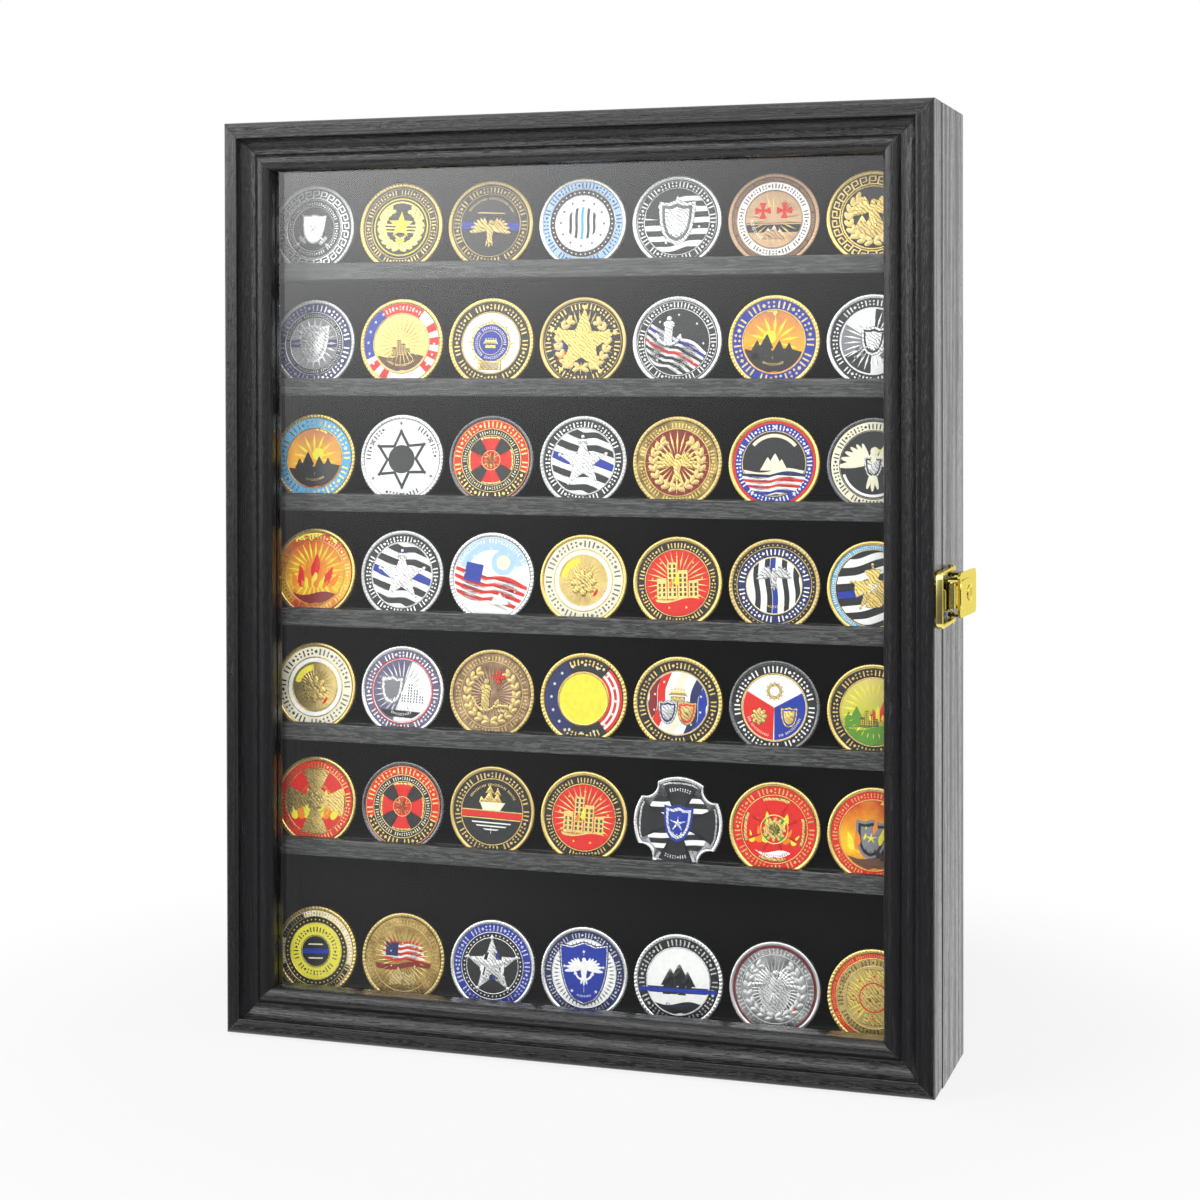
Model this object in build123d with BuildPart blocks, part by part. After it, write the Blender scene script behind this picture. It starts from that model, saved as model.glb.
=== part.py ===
from build123d import *
from math import cos, radians, sin, tan
import os

os.makedirs("parts", exist_ok=True)

# Coin display cabinet. Millimetres. X is the width, Y runs to the back, Z is up.
# The origin is the centre of the carcass's underside.

# Outside sizes
WIDTH = 340.0
HEIGHT = 435.0
CARCASS_DEPTH = 57.0
DOOR_GAP = 2.5
DOOR_THICK = 20.5
DOOR_BOTTOM_CLEAR = 1.0

# Carcass
BOARD = 10.0
CORNER_LAP = 5.0
EDGE_ROUND = 1.0
BACK_INSET = 8.0
PANEL_THICK = 3.2
PANEL_GROOVE = 4.0
PANEL_PLAY = 0.1
FELT_THICK = 1.2
FELT_MARGIN = 0.3
RAIL_HEIGHT = 42.0
CORNER_BRAD_INSET = 10.0

# Shelves and coins
SHELF_COUNT = 7
SHELF_THICK = 8.5
SHELF_SETBACK = 2.5
SHELF_HOUSING = 3.0
TOP_COMPARTMENT = 56.0
LOW_COMPARTMENT = 64.5
LIP_WIDTH = 3.5
LIP_ROUND = 0.6
COIN_GROOVE_WIDTH = 4.3
COIN_GROOVE_DEPTH = 5.0
COIN_RADIUS = 21.5
COIN_THICK = 3.0
COIN_RIM = 2.2
COIN_RECESS = 0.45
COIN_RELIEF = 0.3
COIN_LEAN = 6.0
COIN_PLAY = 0.02
COIN_SIDE_GAP = 1.2
COIN_SPACE = 44.2

# Door frame, glass and beads
MEMBER_WIDTH = 23.0
MEMBER_EDGE_ROUND = 2.5
FLAT_DROP = 1.0
BAND_WIDTH = 5.5
COVE_RADIUS = 5.4
RIB_WIDTH = 2.1
BEAD_DROP = 2.7
BEAD_ROUND = 4.1
LIP_THICK = 3.3
RABBET_WIDTH = 6.0
RABBET_DEPTH = 10.5
GLASS_THICK = 3.0
GLASS_MARGIN = 1.0
GLAZING_BEAD_WIDTH = 5.2
GLAZING_BEAD_SET_IN = 0.5
DOOR_BRAD_DEPTH = 8.0
DOOR_BRAD_INSET = 1.0
BEAD_BRAD_DEPTH = 4.0
BUMPER_RADIUS = 3.5
BUMPER_PLAY = 0.05
BUMPER_INSET = 25.0

# Hinges
HINGE_HEIGHT = 38.0
HINGE_INSET = 58.0
HINGE_LEAF_REACH = 9.0
HINGE_LEAF_THICK = 1.1
HINGE_BARREL_RADIUS = 2.3
HINGE_PIN_RADIUS = 1.1
HINGE_PIN_PLAY = 0.05
HINGE_SIDE_OFFSET = 2.6
HINGE_KNUCKLES = 5
KNUCKLE_GAP = 0.2
LEAF_CLEAR = 0.35
PIN_CAP_RADIUS = 1.9
PIN_CAP_THICK = 0.9

# Fasteners
SCREW_SHANK = 1.0
SCREW_HEAD = 2.0
SCREW_LENGTH = 7.0
SCREW_PLAY = 0.03
BRAD_RADIUS = 0.6
CARCASS_BRAD_LENGTH = 20.0
BEAD_BRAD_LENGTH = 10.0

# Wall hangers
HANGER_FROM_SIDE = 50.0
HANGER_SPACING = WIDTH - 2 * HANGER_FROM_SIDE
HANGER_WIDTH = 16.0
HANGER_HEIGHT = 36.0
HANGER_THICK = 1.5
HANGER_ENTRY_RADIUS = 4.5
HANGER_SLOT_RADIUS = 2.2
HANGER_SLOT_RISE = 10.0
HANGER_POCKET_DEPTH = 5.0
HANGER_SCREW_SPREAD = 28.0
HANGER_CORNER = 2.0

# Draw latch on the right side
LATCH_HEIGHT = 217.5
LATCH_SHEET = 1.2
BASE_HALF_HEIGHT = 7.0
BASE_REAR = 8.0
BASE_CORNER = 2.0
BASE_CLEAR = 0.5
BASE_SCREW_REACH = 8.0
BASE_SCREW_INSET = 3.5
BARREL_FROM_SIDE = 2.8
BARREL_FROM_EDGE = 4.0
LATCH_BARREL_RADIUS = 2.65
BARREL_HALF_HEIGHT = 4.0
LATCH_PIN_RADIUS = 1.0
LATCH_PIN_PLAY = 0.05
EAR_START = 4.3
EAR_THICK = 1.2
EAR_CLEAR = 0.1
EAR_ROOT_NEAR = 3.2
EAR_ROOT_FAR = 9.0
ROOT_RADIUS = 0.55
ROOT_LIFT = 0.6
LEVER_HALF_HEIGHT = 10.0
LEVER_LENGTH = 32.5
LEVER_LIFT = 5.9
LEVER_TILT = 3.5
LEVER_CORNER = 3.0
LOOP_ARM_REACH = 7.0
LOOP_ARM_DROP = 0.8
LOOP_HALF_HEIGHT = 12.5
LOOP_SHEET = 2.0
LOOP_WIDTH = 3.2
LOOP_SIDE_CLEAR = 0.4
LOOP_CORNER = 1.6
FLANGE_START = 8.6
FLANGE_ROOT_NEAR = 5.0
FLANGE_ROOT_FAR = 13.0
EYE_RADIUS = 1.6
RIVET_RADIUS = 0.8
RIVET_HEAD_RADIUS = 1.35
HEAD_THICK = 0.6
HEAD_ROUND = 0.4
HOOK_HALF_HEIGHT = 5.0
HOOK_REACH = 4.4
HOOK_THICK = 1.2
HOOK_CLEAR = 0.3
HOOK_CORNER = 1.5
KEEPER_THICK = 1.0
KEEPER_HALF_HEIGHT = 8.5
KEEPER_LENGTH = 13.0
KEEPER_CORNER = 2.0
KEEPER_SCREW_SPREAD = 10.4
CROSSBAR_SET_IN = 2.5
PLUG_RADIUS = 2.6
PLUG_PLAY = 0.05
PLUG_FROM_PIVOT = 17.5
PLUG_DEPTH = 2.4
PLUG_STAND = 0.35
COLLAR_WIDTH = 0.6
COLLAR_LIFT = 0.05
COLLAR_THICK = 0.5
KEY_SLOT_LENGTH = 3.4
KEY_SLOT_WIDTH = 0.7
KEY_SLOT_DEPTH = 2.5
CAM_LENGTH = 5.2
CAM_WIDTH = 2.6
CAM_THICK = 1.0
CAM_CLEAR = 0.4
CATCH_WIDTH = 4.0
CATCH_LIP = 0.9
CATCH_SET_IN = 0.3
CATCH_PLUG_CLEAR = 0.5

# Places that follow from the sizes
RIGHT = WIDTH / 2
LEFT = -WIDTH / 2
FRONT = -CARCASS_DEPTH / 2
REAR = CARCASS_DEPTH / 2
DOOR_BACK = FRONT - DOOR_GAP
DOOR_FRONT = DOOR_BACK - DOOR_THICK
DOOR_HEIGHT = HEIGHT - DOOR_BOTTOM_CLEAR
INSIDE = WIDTH / 2 - BOARD
PANEL_REAR = REAR - BACK_INSET
PANEL_FRONT = PANEL_REAR - PANEL_THICK
FELT_FRONT = PANEL_FRONT - FELT_THICK
SHELF_FRONT = FRONT + SHELF_SETBACK
SHELF_DEPTH = FELT_FRONT - SHELF_FRONT
COIN_GROOVE_FRONT = SHELF_FRONT + LIP_WIDTH
COIN_GROOVE_REAR = COIN_GROOVE_FRONT + COIN_GROOVE_WIDTH
TOP_SHELF_TOP = HEIGHT - BOARD - TOP_COMPARTMENT
LOW_SHELF_TOP = BOARD + 2 * SHELF_THICK + LOW_COMPARTMENT
SHELF_PITCH = (TOP_SHELF_TOP - LOW_SHELF_TOP) / (SHELF_COUNT - 2)
UPPER_SHELF_TOPS = [TOP_SHELF_TOP - SHELF_PITCH * k for k in range(SHELF_COUNT - 1)]
SHELF_TOPS = UPPER_SHELF_TOPS + [BOARD + SHELF_THICK]
COINS_PER_SHELF = int(2 * INSIDE // COIN_SPACE)


def save(part, name):
    """Label one finished piece and write its file."""
    part.label = name
    export_step(part, f"parts/{name}.step")


def group(shape, places, name):
    """Write copies of one solid at several places as one node."""
    with BuildPart() as copies:
        with Locations(*places):
            add(shape)
    save(copies.part, name)


def countersunk_screw():
    """A slotted countersunk screw whose head is flush with its origin, pointing down."""
    with BuildPart() as screw:
        with BuildSketch(Plane.XZ):
            with BuildLine():
                Polyline(
                    (0, 0),
                    (SCREW_HEAD, 0),
                    (SCREW_SHANK, SCREW_SHANK - SCREW_HEAD),
                    (SCREW_SHANK, 1.5 - SCREW_LENGTH),
                    (0, -SCREW_LENGTH),
                    close=True,
                )
            make_face()
        revolve(axis=Axis.Z)
        with BuildSketch(Plane.XY):
            Rectangle(1.8 * SCREW_HEAD, 0.5)
        extrude(amount=-0.5, mode=Mode.SUBTRACT)
    return screw.part


def brad(length):
    """A headless brad, flush with its origin, pointing down."""
    with BuildPart() as pin:
        Cylinder(BRAD_RADIUS, length, align=(Align.CENTER, Align.CENTER, Align.MAX))
        chamfer(pin.edges().sort_by(Axis.Z)[0], BRAD_RADIUS / 2)
    return pin.part


def facing(x, y, z, normal):
    """A location on a surface, with its own Z along the outward normal."""
    return Location(Plane(origin=(x, y, z), z_dir=normal))


SCREW_HOLE = SCREW_SHANK + SCREW_PLAY
SCREW_SINK = SCREW_HEAD + SCREW_PLAY
BRAD_HOLE = BRAD_RADIUS + SCREW_PLAY
SCREW = countersunk_screw()

# Places of the hinges. The pin stands in the middle of the gap, just outside the left side.
HINGE_X = LEFT - HINGE_SIDE_OFFSET
HINGE_Y = (FRONT + DOOR_BACK) / 2
HINGE_HEIGHTS = {"upper": HEIGHT - HINGE_INSET, "lower": HINGE_INSET}
HINGE_SCREW_X = LEFT + HINGE_LEAF_REACH / 2
HINGE_SCREW_SPREAD = HINGE_HEIGHT * 0.6
HINGE_SCREW_ZS = [
    z + side * HINGE_SCREW_SPREAD / 2 for z in HINGE_HEIGHTS.values() for side in (-1, 1)
]
CABINET_LEAF_FACE = FRONT - HINGE_LEAF_THICK
DOOR_LEAF_FACE = DOOR_BACK + HINGE_LEAF_THICK
CABINET_HINGE_SCREWS = [facing(HINGE_SCREW_X, CABINET_LEAF_FACE, z, (0, -1, 0)) for z in HINGE_SCREW_ZS]
DOOR_HINGE_SCREWS = [facing(HINGE_SCREW_X, DOOR_LEAF_FACE, z, (0, 1, 0)) for z in HINGE_SCREW_ZS]

# Places of the latch, seen from above, and of its screws
PIVOT_X = RIGHT + BARREL_FROM_SIDE
PIVOT_Y = FRONT + BARREL_FROM_EDGE
LOOP_PIVOT_X = PIVOT_X - LOOP_ARM_DROP
LOOP_PIVOT_Y = PIVOT_Y + LOOP_ARM_REACH
CROSSBAR_FRONT = DOOR_FRONT + CROSSBAR_SET_IN
CROSSBAR_REAR = CROSSBAR_FRONT + LOOP_SHEET
HOOK_FRONT = CROSSBAR_REAR + HOOK_CLEAR
KEEPER_SCREWS = [
    facing(RIGHT + KEEPER_THICK, HOOK_FRONT + 0.65 * KEEPER_LENGTH, z, (1, 0, 0))
    for z in (LATCH_HEIGHT - KEEPER_SCREW_SPREAD / 2, LATCH_HEIGHT + KEEPER_SCREW_SPREAD / 2)
]
BASE_SCREW_YS = [PIVOT_Y + BASE_SCREW_REACH, BASE_REAR - BASE_SCREW_INSET]
BASE_SCREWS = [facing(RIGHT + LATCH_SHEET, y, LATCH_HEIGHT, (1, 0, 0)) for y in BASE_SCREW_YS]

# Places of the brads
CORNER_BRAD_YS = [FRONT + CORNER_BRAD_INSET, 0.0, REAR - CORNER_BRAD_INSET]
CORNER_BRAD_ZS = [BOARD / 2, HEIGHT - BOARD / 2]
LEFT_BRADS = [facing(LEFT, y, z, (-1, 0, 0)) for y in CORNER_BRAD_YS for z in CORNER_BRAD_ZS]
RIGHT_BRADS = [facing(RIGHT, y, z, (1, 0, 0)) for y in CORNER_BRAD_YS for z in CORNER_BRAD_ZS]
DOOR_BRAD_X = RIGHT - BAND_WIDTH - DOOR_BRAD_INSET
DOOR_BRAD_Y = DOOR_BACK - DOOR_BRAD_DEPTH
DOOR_TOP_BRADS = [facing(side * DOOR_BRAD_X, DOOR_BRAD_Y, HEIGHT, (0, 0, 1)) for side in (-1, 1)]
DOOR_LOW_BRADS = [
    facing(side * DOOR_BRAD_X, DOOR_BRAD_Y, DOOR_BOTTOM_CLEAR, (0, 0, -1)) for side in (-1, 1)
]

# Places of the wall hangers
HANGER_XS = {"left": -HANGER_SPACING / 2, "right": HANGER_SPACING / 2}
RAIL_MID = HEIGHT - BOARD - RAIL_HEIGHT / 2
HANGER_SCREWS = [
    facing(x, REAR, RAIL_MID + side * HANGER_SCREW_SPREAD / 2, (0, 1, 0))
    for x in HANGER_XS.values()
    for side in (-1, 1)
]


def side_board(side, brads):
    """A carcass side: laps for top and bottom, housings for shelves, a groove for the panel."""
    outer = side * RIGHT
    inner = side * INSIDE
    with BuildPart() as board:
        with Locations(((outer + inner) / 2, 0, HEIGHT / 2)):
            Box(BOARD, CARCASS_DEPTH, HEIGHT)
        with Locations((inner, 0, 0), (inner, 0, HEIGHT)):
            Box(2 * CORNER_LAP, CARCASS_DEPTH, 2 * BOARD, mode=Mode.SUBTRACT)
        with Locations((inner, (PANEL_FRONT + PANEL_REAR) / 2, HEIGHT / 2)):
            Box(2 * PANEL_GROOVE, PANEL_THICK + 2 * PANEL_PLAY, HEIGHT - 2 * BOARD, mode=Mode.SUBTRACT)
        for top in SHELF_TOPS:
            with Locations((inner, (SHELF_FRONT + FELT_FRONT) / 2, top - SHELF_THICK / 2)):
                Box(2 * SHELF_HOUSING, SHELF_DEPTH, SHELF_THICK, mode=Mode.SUBTRACT)
        outside = board.faces().sort_by(Axis.X)[-1 if side > 0 else 0]
        fillet(outside.edges().filter_by(Axis.Z), EDGE_ROUND)
        with Locations(*brads):
            Hole(BRAD_HOLE, CARCASS_BRAD_LENGTH)
        if side < 0:
            with Locations(*CABINET_HINGE_SCREWS):
                Hole(SCREW_HOLE, SCREW_LENGTH)
        else:
            with Locations(*BASE_SCREWS):
                Hole(SCREW_HOLE, SCREW_LENGTH)
    return board.part


def end_board(z_mid, inward):
    """The top or bottom board, between the laps of the sides, grooved for the back panel."""
    with BuildPart() as board:
        with Locations((0, 0, z_mid)):
            Box(2 * (INSIDE + CORNER_LAP), CARCASS_DEPTH, BOARD)
        with Locations((0, (PANEL_FRONT + PANEL_REAR) / 2, z_mid + inward * BOARD / 2)):
            Box(2 * (INSIDE + CORNER_LAP), PANEL_THICK + 2 * PANEL_PLAY, 2 * PANEL_GROOVE, mode=Mode.SUBTRACT)
        with Locations(*LEFT_BRADS, *RIGHT_BRADS):
            Hole(BRAD_HOLE, CARCASS_BRAD_LENGTH)
    return board.part


save(side_board(-1, LEFT_BRADS), "side_board_left")
save(side_board(1, RIGHT_BRADS), "side_board_right")
save(end_board(HEIGHT - BOARD / 2, -1), "top_board")
save(end_board(BOARD / 2, 1), "bottom_board")
group(brad(CARCASS_BRAD_LENGTH), LEFT_BRADS + RIGHT_BRADS, "carcass_brads")

# Back panel, held in the groove, and the felt on its front
with BuildPart() as back_panel:
    with Locations((0, (PANEL_FRONT + PANEL_REAR) / 2, HEIGHT / 2)):
        Box(
            2 * (INSIDE + PANEL_GROOVE - PANEL_PLAY),
            PANEL_THICK,
            HEIGHT - 2 * (BOARD - PANEL_GROOVE + PANEL_PLAY),
        )
save(back_panel.part, "back_panel")

with BuildPart() as felt_lining:
    with Locations((0, (FELT_FRONT + PANEL_FRONT) / 2, HEIGHT / 2)):
        Box(2 * (INSIDE - FELT_MARGIN), FELT_THICK, HEIGHT - 2 * (BOARD + FELT_MARGIN))
save(felt_lining.part, "felt_lining")

# Hanging rail behind the panel, let in and hollowed for the keyhole plates
with BuildPart() as hanging_rail:
    with Locations((0, (PANEL_REAR + REAR) / 2, RAIL_MID)):
        Box(2 * INSIDE, BACK_INSET, RAIL_HEIGHT)
    with Locations(*[(x, REAR, RAIL_MID) for x in HANGER_XS.values()]):
        Box(HANGER_WIDTH, 2 * HANGER_THICK, HANGER_HEIGHT, mode=Mode.SUBTRACT)
    for hanger_x in HANGER_XS.values():
        with BuildSketch(Plane(origin=(hanger_x, REAR, RAIL_MID), x_dir=(0, 0, 1), z_dir=(0, 1, 0))):
            SlotOverall(HANGER_SLOT_RISE + 2.2 * HANGER_ENTRY_RADIUS, 2.2 * HANGER_ENTRY_RADIUS)
        extrude(amount=-HANGER_POCKET_DEPTH, mode=Mode.SUBTRACT)
    with Locations(*HANGER_SCREWS):
        Hole(SCREW_HOLE, SCREW_LENGTH)
save(hanging_rail.part, "hanging_rail")

for hanger_side, hanger_x in HANGER_XS.items():
    with BuildPart() as hanger_plate:
        plate_face = Plane(origin=(hanger_x, REAR, RAIL_MID), x_dir=(0, 0, 1), z_dir=(0, 1, 0))
        with BuildSketch(plate_face):
            RectangleRounded(HANGER_HEIGHT, HANGER_WIDTH, HANGER_CORNER)
            with Locations((-HANGER_SLOT_RISE / 2, 0)):
                Circle(HANGER_ENTRY_RADIUS, mode=Mode.SUBTRACT)
            with Locations((0, 0)):
                SlotCenterToCenter(HANGER_SLOT_RISE, 2 * HANGER_SLOT_RADIUS, mode=Mode.SUBTRACT)
        extrude(amount=-HANGER_THICK)
        with Locations(*[place for place in HANGER_SCREWS if place.position.X * hanger_x > 0]):
            CounterSinkHole(SCREW_HOLE, SCREW_SINK, HANGER_THICK, counter_sink_angle=90)
    save(hanger_plate.part, f"hanger_plate_{hanger_side}")
group(SCREW, HANGER_SCREWS, "hanger_screws")


def shelf(top):
    """A shelf whose ends sit in the side housings, with a coin groove behind its lip."""
    with BuildPart() as board:
        with Locations((0, (SHELF_FRONT + FELT_FRONT) / 2, top - SHELF_THICK / 2)):
            Box(2 * (INSIDE + SHELF_HOUSING), SHELF_DEPTH, SHELF_THICK)
        with Locations((0, (COIN_GROOVE_FRONT + COIN_GROOVE_REAR) / 2, top)):
            Box(2 * INSIDE, COIN_GROOVE_WIDTH, 2 * COIN_GROOVE_DEPTH, mode=Mode.SUBTRACT)
        lip_edges = board.edges().filter_by(Axis.X).group_by(Axis.Y)[0]
        fillet(lip_edges, LIP_ROUND)
    return board.part


for number, shelf_top in enumerate(SHELF_TOPS, start=1):
    save(shelf(shelf_top), f"shelf_{number}")


def emblem(kind):
    """The raised motif in the middle of a coin, on the floor of its recess."""
    size = COIN_RADIUS - COIN_RIM
    with BuildSketch() as motif:
        if kind == "ring":
            Circle(0.66 * size)
            Circle(0.56 * size, mode=Mode.SUBTRACT)
        if kind == "star":
            spokes = [(0.62 if k % 2 == 0 else 0.26) * size for k in range(10)]
            turns = [radians(90 + 36 * k) for k in range(10)]
            Polygon(*[(r * cos(a), r * sin(a)) for r, a in zip(spokes, turns)], align=None)
        if kind == "shield":
            Polygon(*[(x * size, y * size) for x, y in
                      ((-0.45, 0.5), (0.45, 0.5), (0.45, -0.1), (0, -0.6), (-0.45, -0.1))], align=None)
        if kind == "cross":
            Rectangle(1.1 * size, 0.3 * size)
            Rectangle(0.3 * size, 1.1 * size)
        if kind == "stripes":
            with GridLocations(0, 0.3 * size, 1, 3):
                Rectangle(0.9 * size, 0.14 * size)
    return motif.sketch


def coin(kind):
    """A coin with a raised rim and a motif, its front looking up from the XY plane."""
    with BuildPart() as disc:
        Cylinder(COIN_RADIUS, COIN_THICK)
        if kind == "cross":
            with PolarLocations(COIN_RADIUS * 1.12, 4, start_angle=45):
                Cylinder(0.28 * COIN_RADIUS, COIN_THICK, mode=Mode.SUBTRACT)
        floor = Plane.XY.offset(COIN_THICK / 2 - COIN_RECESS)
        with BuildSketch(floor):
            Circle((0.6 if kind == "cross" else 1.0) * COIN_RADIUS - COIN_RIM)
        extrude(amount=COIN_RECESS, mode=Mode.SUBTRACT)
        if kind != "cross":
            with BuildSketch(floor):
                add(emblem(kind))
            extrude(amount=COIN_RELIEF)
    return disc.part


# One name per coin: rows from the top shelf down, coins from left to right
ROW_MOTIFS = [
    "stripes star ring stripes stripes ring ring",
    "shield ring shield star stripes ring shield",
    "ring star ring star ring stripes shield",
    "ring star stripes ring ring stripes star",
    "ring stripes ring ring shield ring ring",
    "shield ring stripes ring cross ring shield",
    "ring stripes star shield stripes shield shield",
]
COINS = {kind: coin(kind) for kind in ("ring", "star", "shield", "stripes", "cross")}

# A coin stands on the groove's floor and leans back on the groove's rear edge.
LEAN = radians(COIN_LEAN)
COIN_FOOT_Y = COIN_GROOVE_REAR - COIN_GROOVE_DEPTH * tan(LEAN) - COIN_PLAY
COIN_MID_Y = COIN_FOOT_Y + COIN_RADIUS * sin(LEAN) - COIN_THICK / 2 * cos(LEAN)
COIN_MID_RISE = COIN_RADIUS * cos(LEAN) + COIN_THICK / 2 * sin(LEAN) - COIN_GROOVE_DEPTH + COIN_PLAY
COIN_PITCH = 2 * (INSIDE - COIN_RADIUS - COIN_SIDE_GAP) / (COINS_PER_SHELF - 1)


def coin_place(column, shelf_top):
    """The place of one coin's centre, tilted back by the lean."""
    x = (column - (COINS_PER_SHELF - 1) / 2) * COIN_PITCH
    centre = (x, COIN_MID_Y, shelf_top + COIN_MID_RISE)
    return Location(Plane(origin=centre, x_dir=(1, 0, 0), z_dir=(0, -cos(LEAN), sin(LEAN))))


for number, (shelf_top, motifs) in enumerate(zip(SHELF_TOPS, ROW_MOTIFS), start=1):
    with BuildPart() as coin_row:
        row_names = motifs.split()
        for column in range(COINS_PER_SHELF):
            with Locations(coin_place(column, shelf_top)):
                add(COINS[row_names[column % len(row_names)]])
    save(coin_row.part, f"coins_row_{number}")

# Corners of the door where each member starts, and the directions in and along
DOOR_SIDES = {
    "left": ((LEFT, DOOR_BACK, HEIGHT), (1, 0, 0), (0, 0, -1), DOOR_HEIGHT),
    "right": ((RIGHT, DOOR_BACK, DOOR_BOTTOM_CLEAR), (-1, 0, 0), (0, 0, 1), DOOR_HEIGHT),
    "bottom": ((LEFT, DOOR_BACK, DOOR_BOTTOM_CLEAR), (0, 0, 1), (1, 0, 0), WIDTH),
    "top": ((RIGHT, DOOR_BACK, HEIGHT), (0, 0, -1), (-1, 0, 0), WIDTH),
}


def mitre_planes(corner, inward, along, length):
    """The two 45 degree planes that end a member, each facing the member."""
    start = Vector(*corner)
    into = Vector(*inward)
    run = Vector(*along)
    return Plane(origin=start, z_dir=run - into), Plane(origin=start + run * length, z_dir=-run - into)


def moulded_member(corner, inward, along, length):
    """A door member: edge band, step, cove, round inner bead and a rabbet for the glass."""
    band = DOOR_THICK - FLAT_DROP
    cove_start = BAND_WIDTH + RIB_WIDTH
    cove_end = cove_start + COVE_RADIUS
    floor = DOOR_THICK - COVE_RADIUS
    crown = DOOR_THICK - BEAD_DROP
    crown_u = MEMBER_WIDTH - BEAD_ROUND
    lip_top = RABBET_DEPTH + LIP_THICK
    rise_u = crown_u - BEAD_ROUND * 0.95
    cove_mid = COVE_RADIUS * (1 - sin(radians(45)))
    round_mid = MEMBER_EDGE_ROUND * (1 - sin(radians(45)))
    with BuildPart() as member:
        with BuildSketch(Plane(origin=corner, x_dir=inward, z_dir=along)):
            with BuildLine():
                Line((0, 0), (0, band - MEMBER_EDGE_ROUND))
                ThreePointArc(
                    (0, band - MEMBER_EDGE_ROUND),
                    (round_mid, band - round_mid),
                    (MEMBER_EDGE_ROUND, band),
                )
                Line((MEMBER_EDGE_ROUND, band), (BAND_WIDTH, band))
                Line((BAND_WIDTH, band), (BAND_WIDTH + FLAT_DROP, DOOR_THICK))
                Line((BAND_WIDTH + FLAT_DROP, DOOR_THICK), (cove_start, DOOR_THICK))
                ThreePointArc(
                    (cove_start, DOOR_THICK),
                    (cove_start + cove_mid, floor + cove_mid),
                    (cove_end, floor),
                )
                Line((cove_end, floor), (rise_u, floor))
                ThreePointArc((rise_u, floor), (crown_u, crown), (MEMBER_WIDTH, lip_top))
                Line((MEMBER_WIDTH, lip_top), (MEMBER_WIDTH, RABBET_DEPTH))
                Line((MEMBER_WIDTH, RABBET_DEPTH), (MEMBER_WIDTH - RABBET_WIDTH, RABBET_DEPTH))
                Line((MEMBER_WIDTH - RABBET_WIDTH, RABBET_DEPTH), (MEMBER_WIDTH - RABBET_WIDTH, 0))
                Line((MEMBER_WIDTH - RABBET_WIDTH, 0), (0, 0))
            make_face()
        extrude(amount=length)
        for mitre in mitre_planes(corner, inward, along, length):
            split(bisect_by=mitre, keep=Keep.TOP)
    return member.part


def glazing_bead(corner, inward, along, length):
    """A quarter-round bead in the rabbet, between the glass and the back of the door."""
    outer = MEMBER_WIDTH - RABBET_WIDTH
    inner = outer + GLAZING_BEAD_WIDTH
    top = RABBET_DEPTH - GLASS_THICK
    low = GLAZING_BEAD_SET_IN
    soft = GLAZING_BEAD_WIDTH * 0.6
    with BuildPart() as bead:
        with BuildSketch(Plane(origin=corner, x_dir=inward, z_dir=along)):
            with BuildLine():
                Line((outer, low), (outer, top))
                Line((outer, top), (inner, top))
                Line((inner, top), (inner, low + soft))
                RadiusArc((inner, low + soft), (inner - soft, low), soft)
                Line((inner - soft, low), (outer, low))
            make_face()
        extrude(amount=length)
        for mitre in mitre_planes(corner, inward, along, length):
            split(bisect_by=mitre, keep=Keep.TOP)
    return bead.part


def bead_brad_places(corner, inward, along, length):
    """Three brads through a bead into its member, starting from the opening."""
    start = Vector(*corner)
    into = Vector(*inward)
    run = Vector(*along)
    depth = Vector(0, -(GLAZING_BEAD_SET_IN + BEAD_BRAD_DEPTH), 0)
    level = MEMBER_WIDTH - RABBET_WIDTH + GLAZING_BEAD_WIDTH
    return [
        Location(Plane(origin=start + into * level + run * (length * share) + depth, z_dir=inward))
        for share in (0.2, 0.5, 0.8)
    ]


MEMBER_NAMES = {
    "left": "door_stile_left",
    "right": "door_stile_right",
    "bottom": "door_rail_bottom",
    "top": "door_rail_top",
}
SCREWS_IN_MEMBER = {"left": DOOR_HINGE_SCREWS, "right": KEEPER_SCREWS}
ALL_BEAD_BRADS = []
for side_name, side_values in DOOR_SIDES.items():
    side_brads = bead_brad_places(*side_values)
    ALL_BEAD_BRADS += side_brads
    with BuildPart() as door_member:
        add(moulded_member(*side_values))
        with Locations(*side_brads):
            Hole(BRAD_HOLE, BEAD_BRAD_LENGTH)
        with Locations(*DOOR_TOP_BRADS, *DOOR_LOW_BRADS):
            Hole(BRAD_HOLE, CARCASS_BRAD_LENGTH)
        if side_name in SCREWS_IN_MEMBER:
            with Locations(*SCREWS_IN_MEMBER[side_name]):
                Hole(SCREW_HOLE, SCREW_LENGTH)
    save(door_member.part, MEMBER_NAMES[side_name])
    with BuildPart() as door_bead:
        add(glazing_bead(*side_values))
        with Locations(*side_brads):
            Hole(BRAD_HOLE, BEAD_BRAD_LENGTH)
    save(door_bead.part, f"glazing_bead_{side_name}")
group(brad(BEAD_BRAD_LENGTH), ALL_BEAD_BRADS, "glazing_brads")
group(brad(CARCASS_BRAD_LENGTH), DOOR_TOP_BRADS + DOOR_LOW_BRADS, "door_corner_brads")

# Glass, lying on the lips of the members
with BuildPart() as glass_pane:
    glass_inset = MEMBER_WIDTH - RABBET_WIDTH + GLASS_MARGIN
    with Locations((0, DOOR_BACK - RABBET_DEPTH + GLASS_THICK / 2, DOOR_BOTTOM_CLEAR + DOOR_HEIGHT / 2)):
        Box(WIDTH - 2 * glass_inset, GLASS_THICK, DOOR_HEIGHT - 2 * glass_inset)
save(glass_pane.part, "glass_pane")

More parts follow.
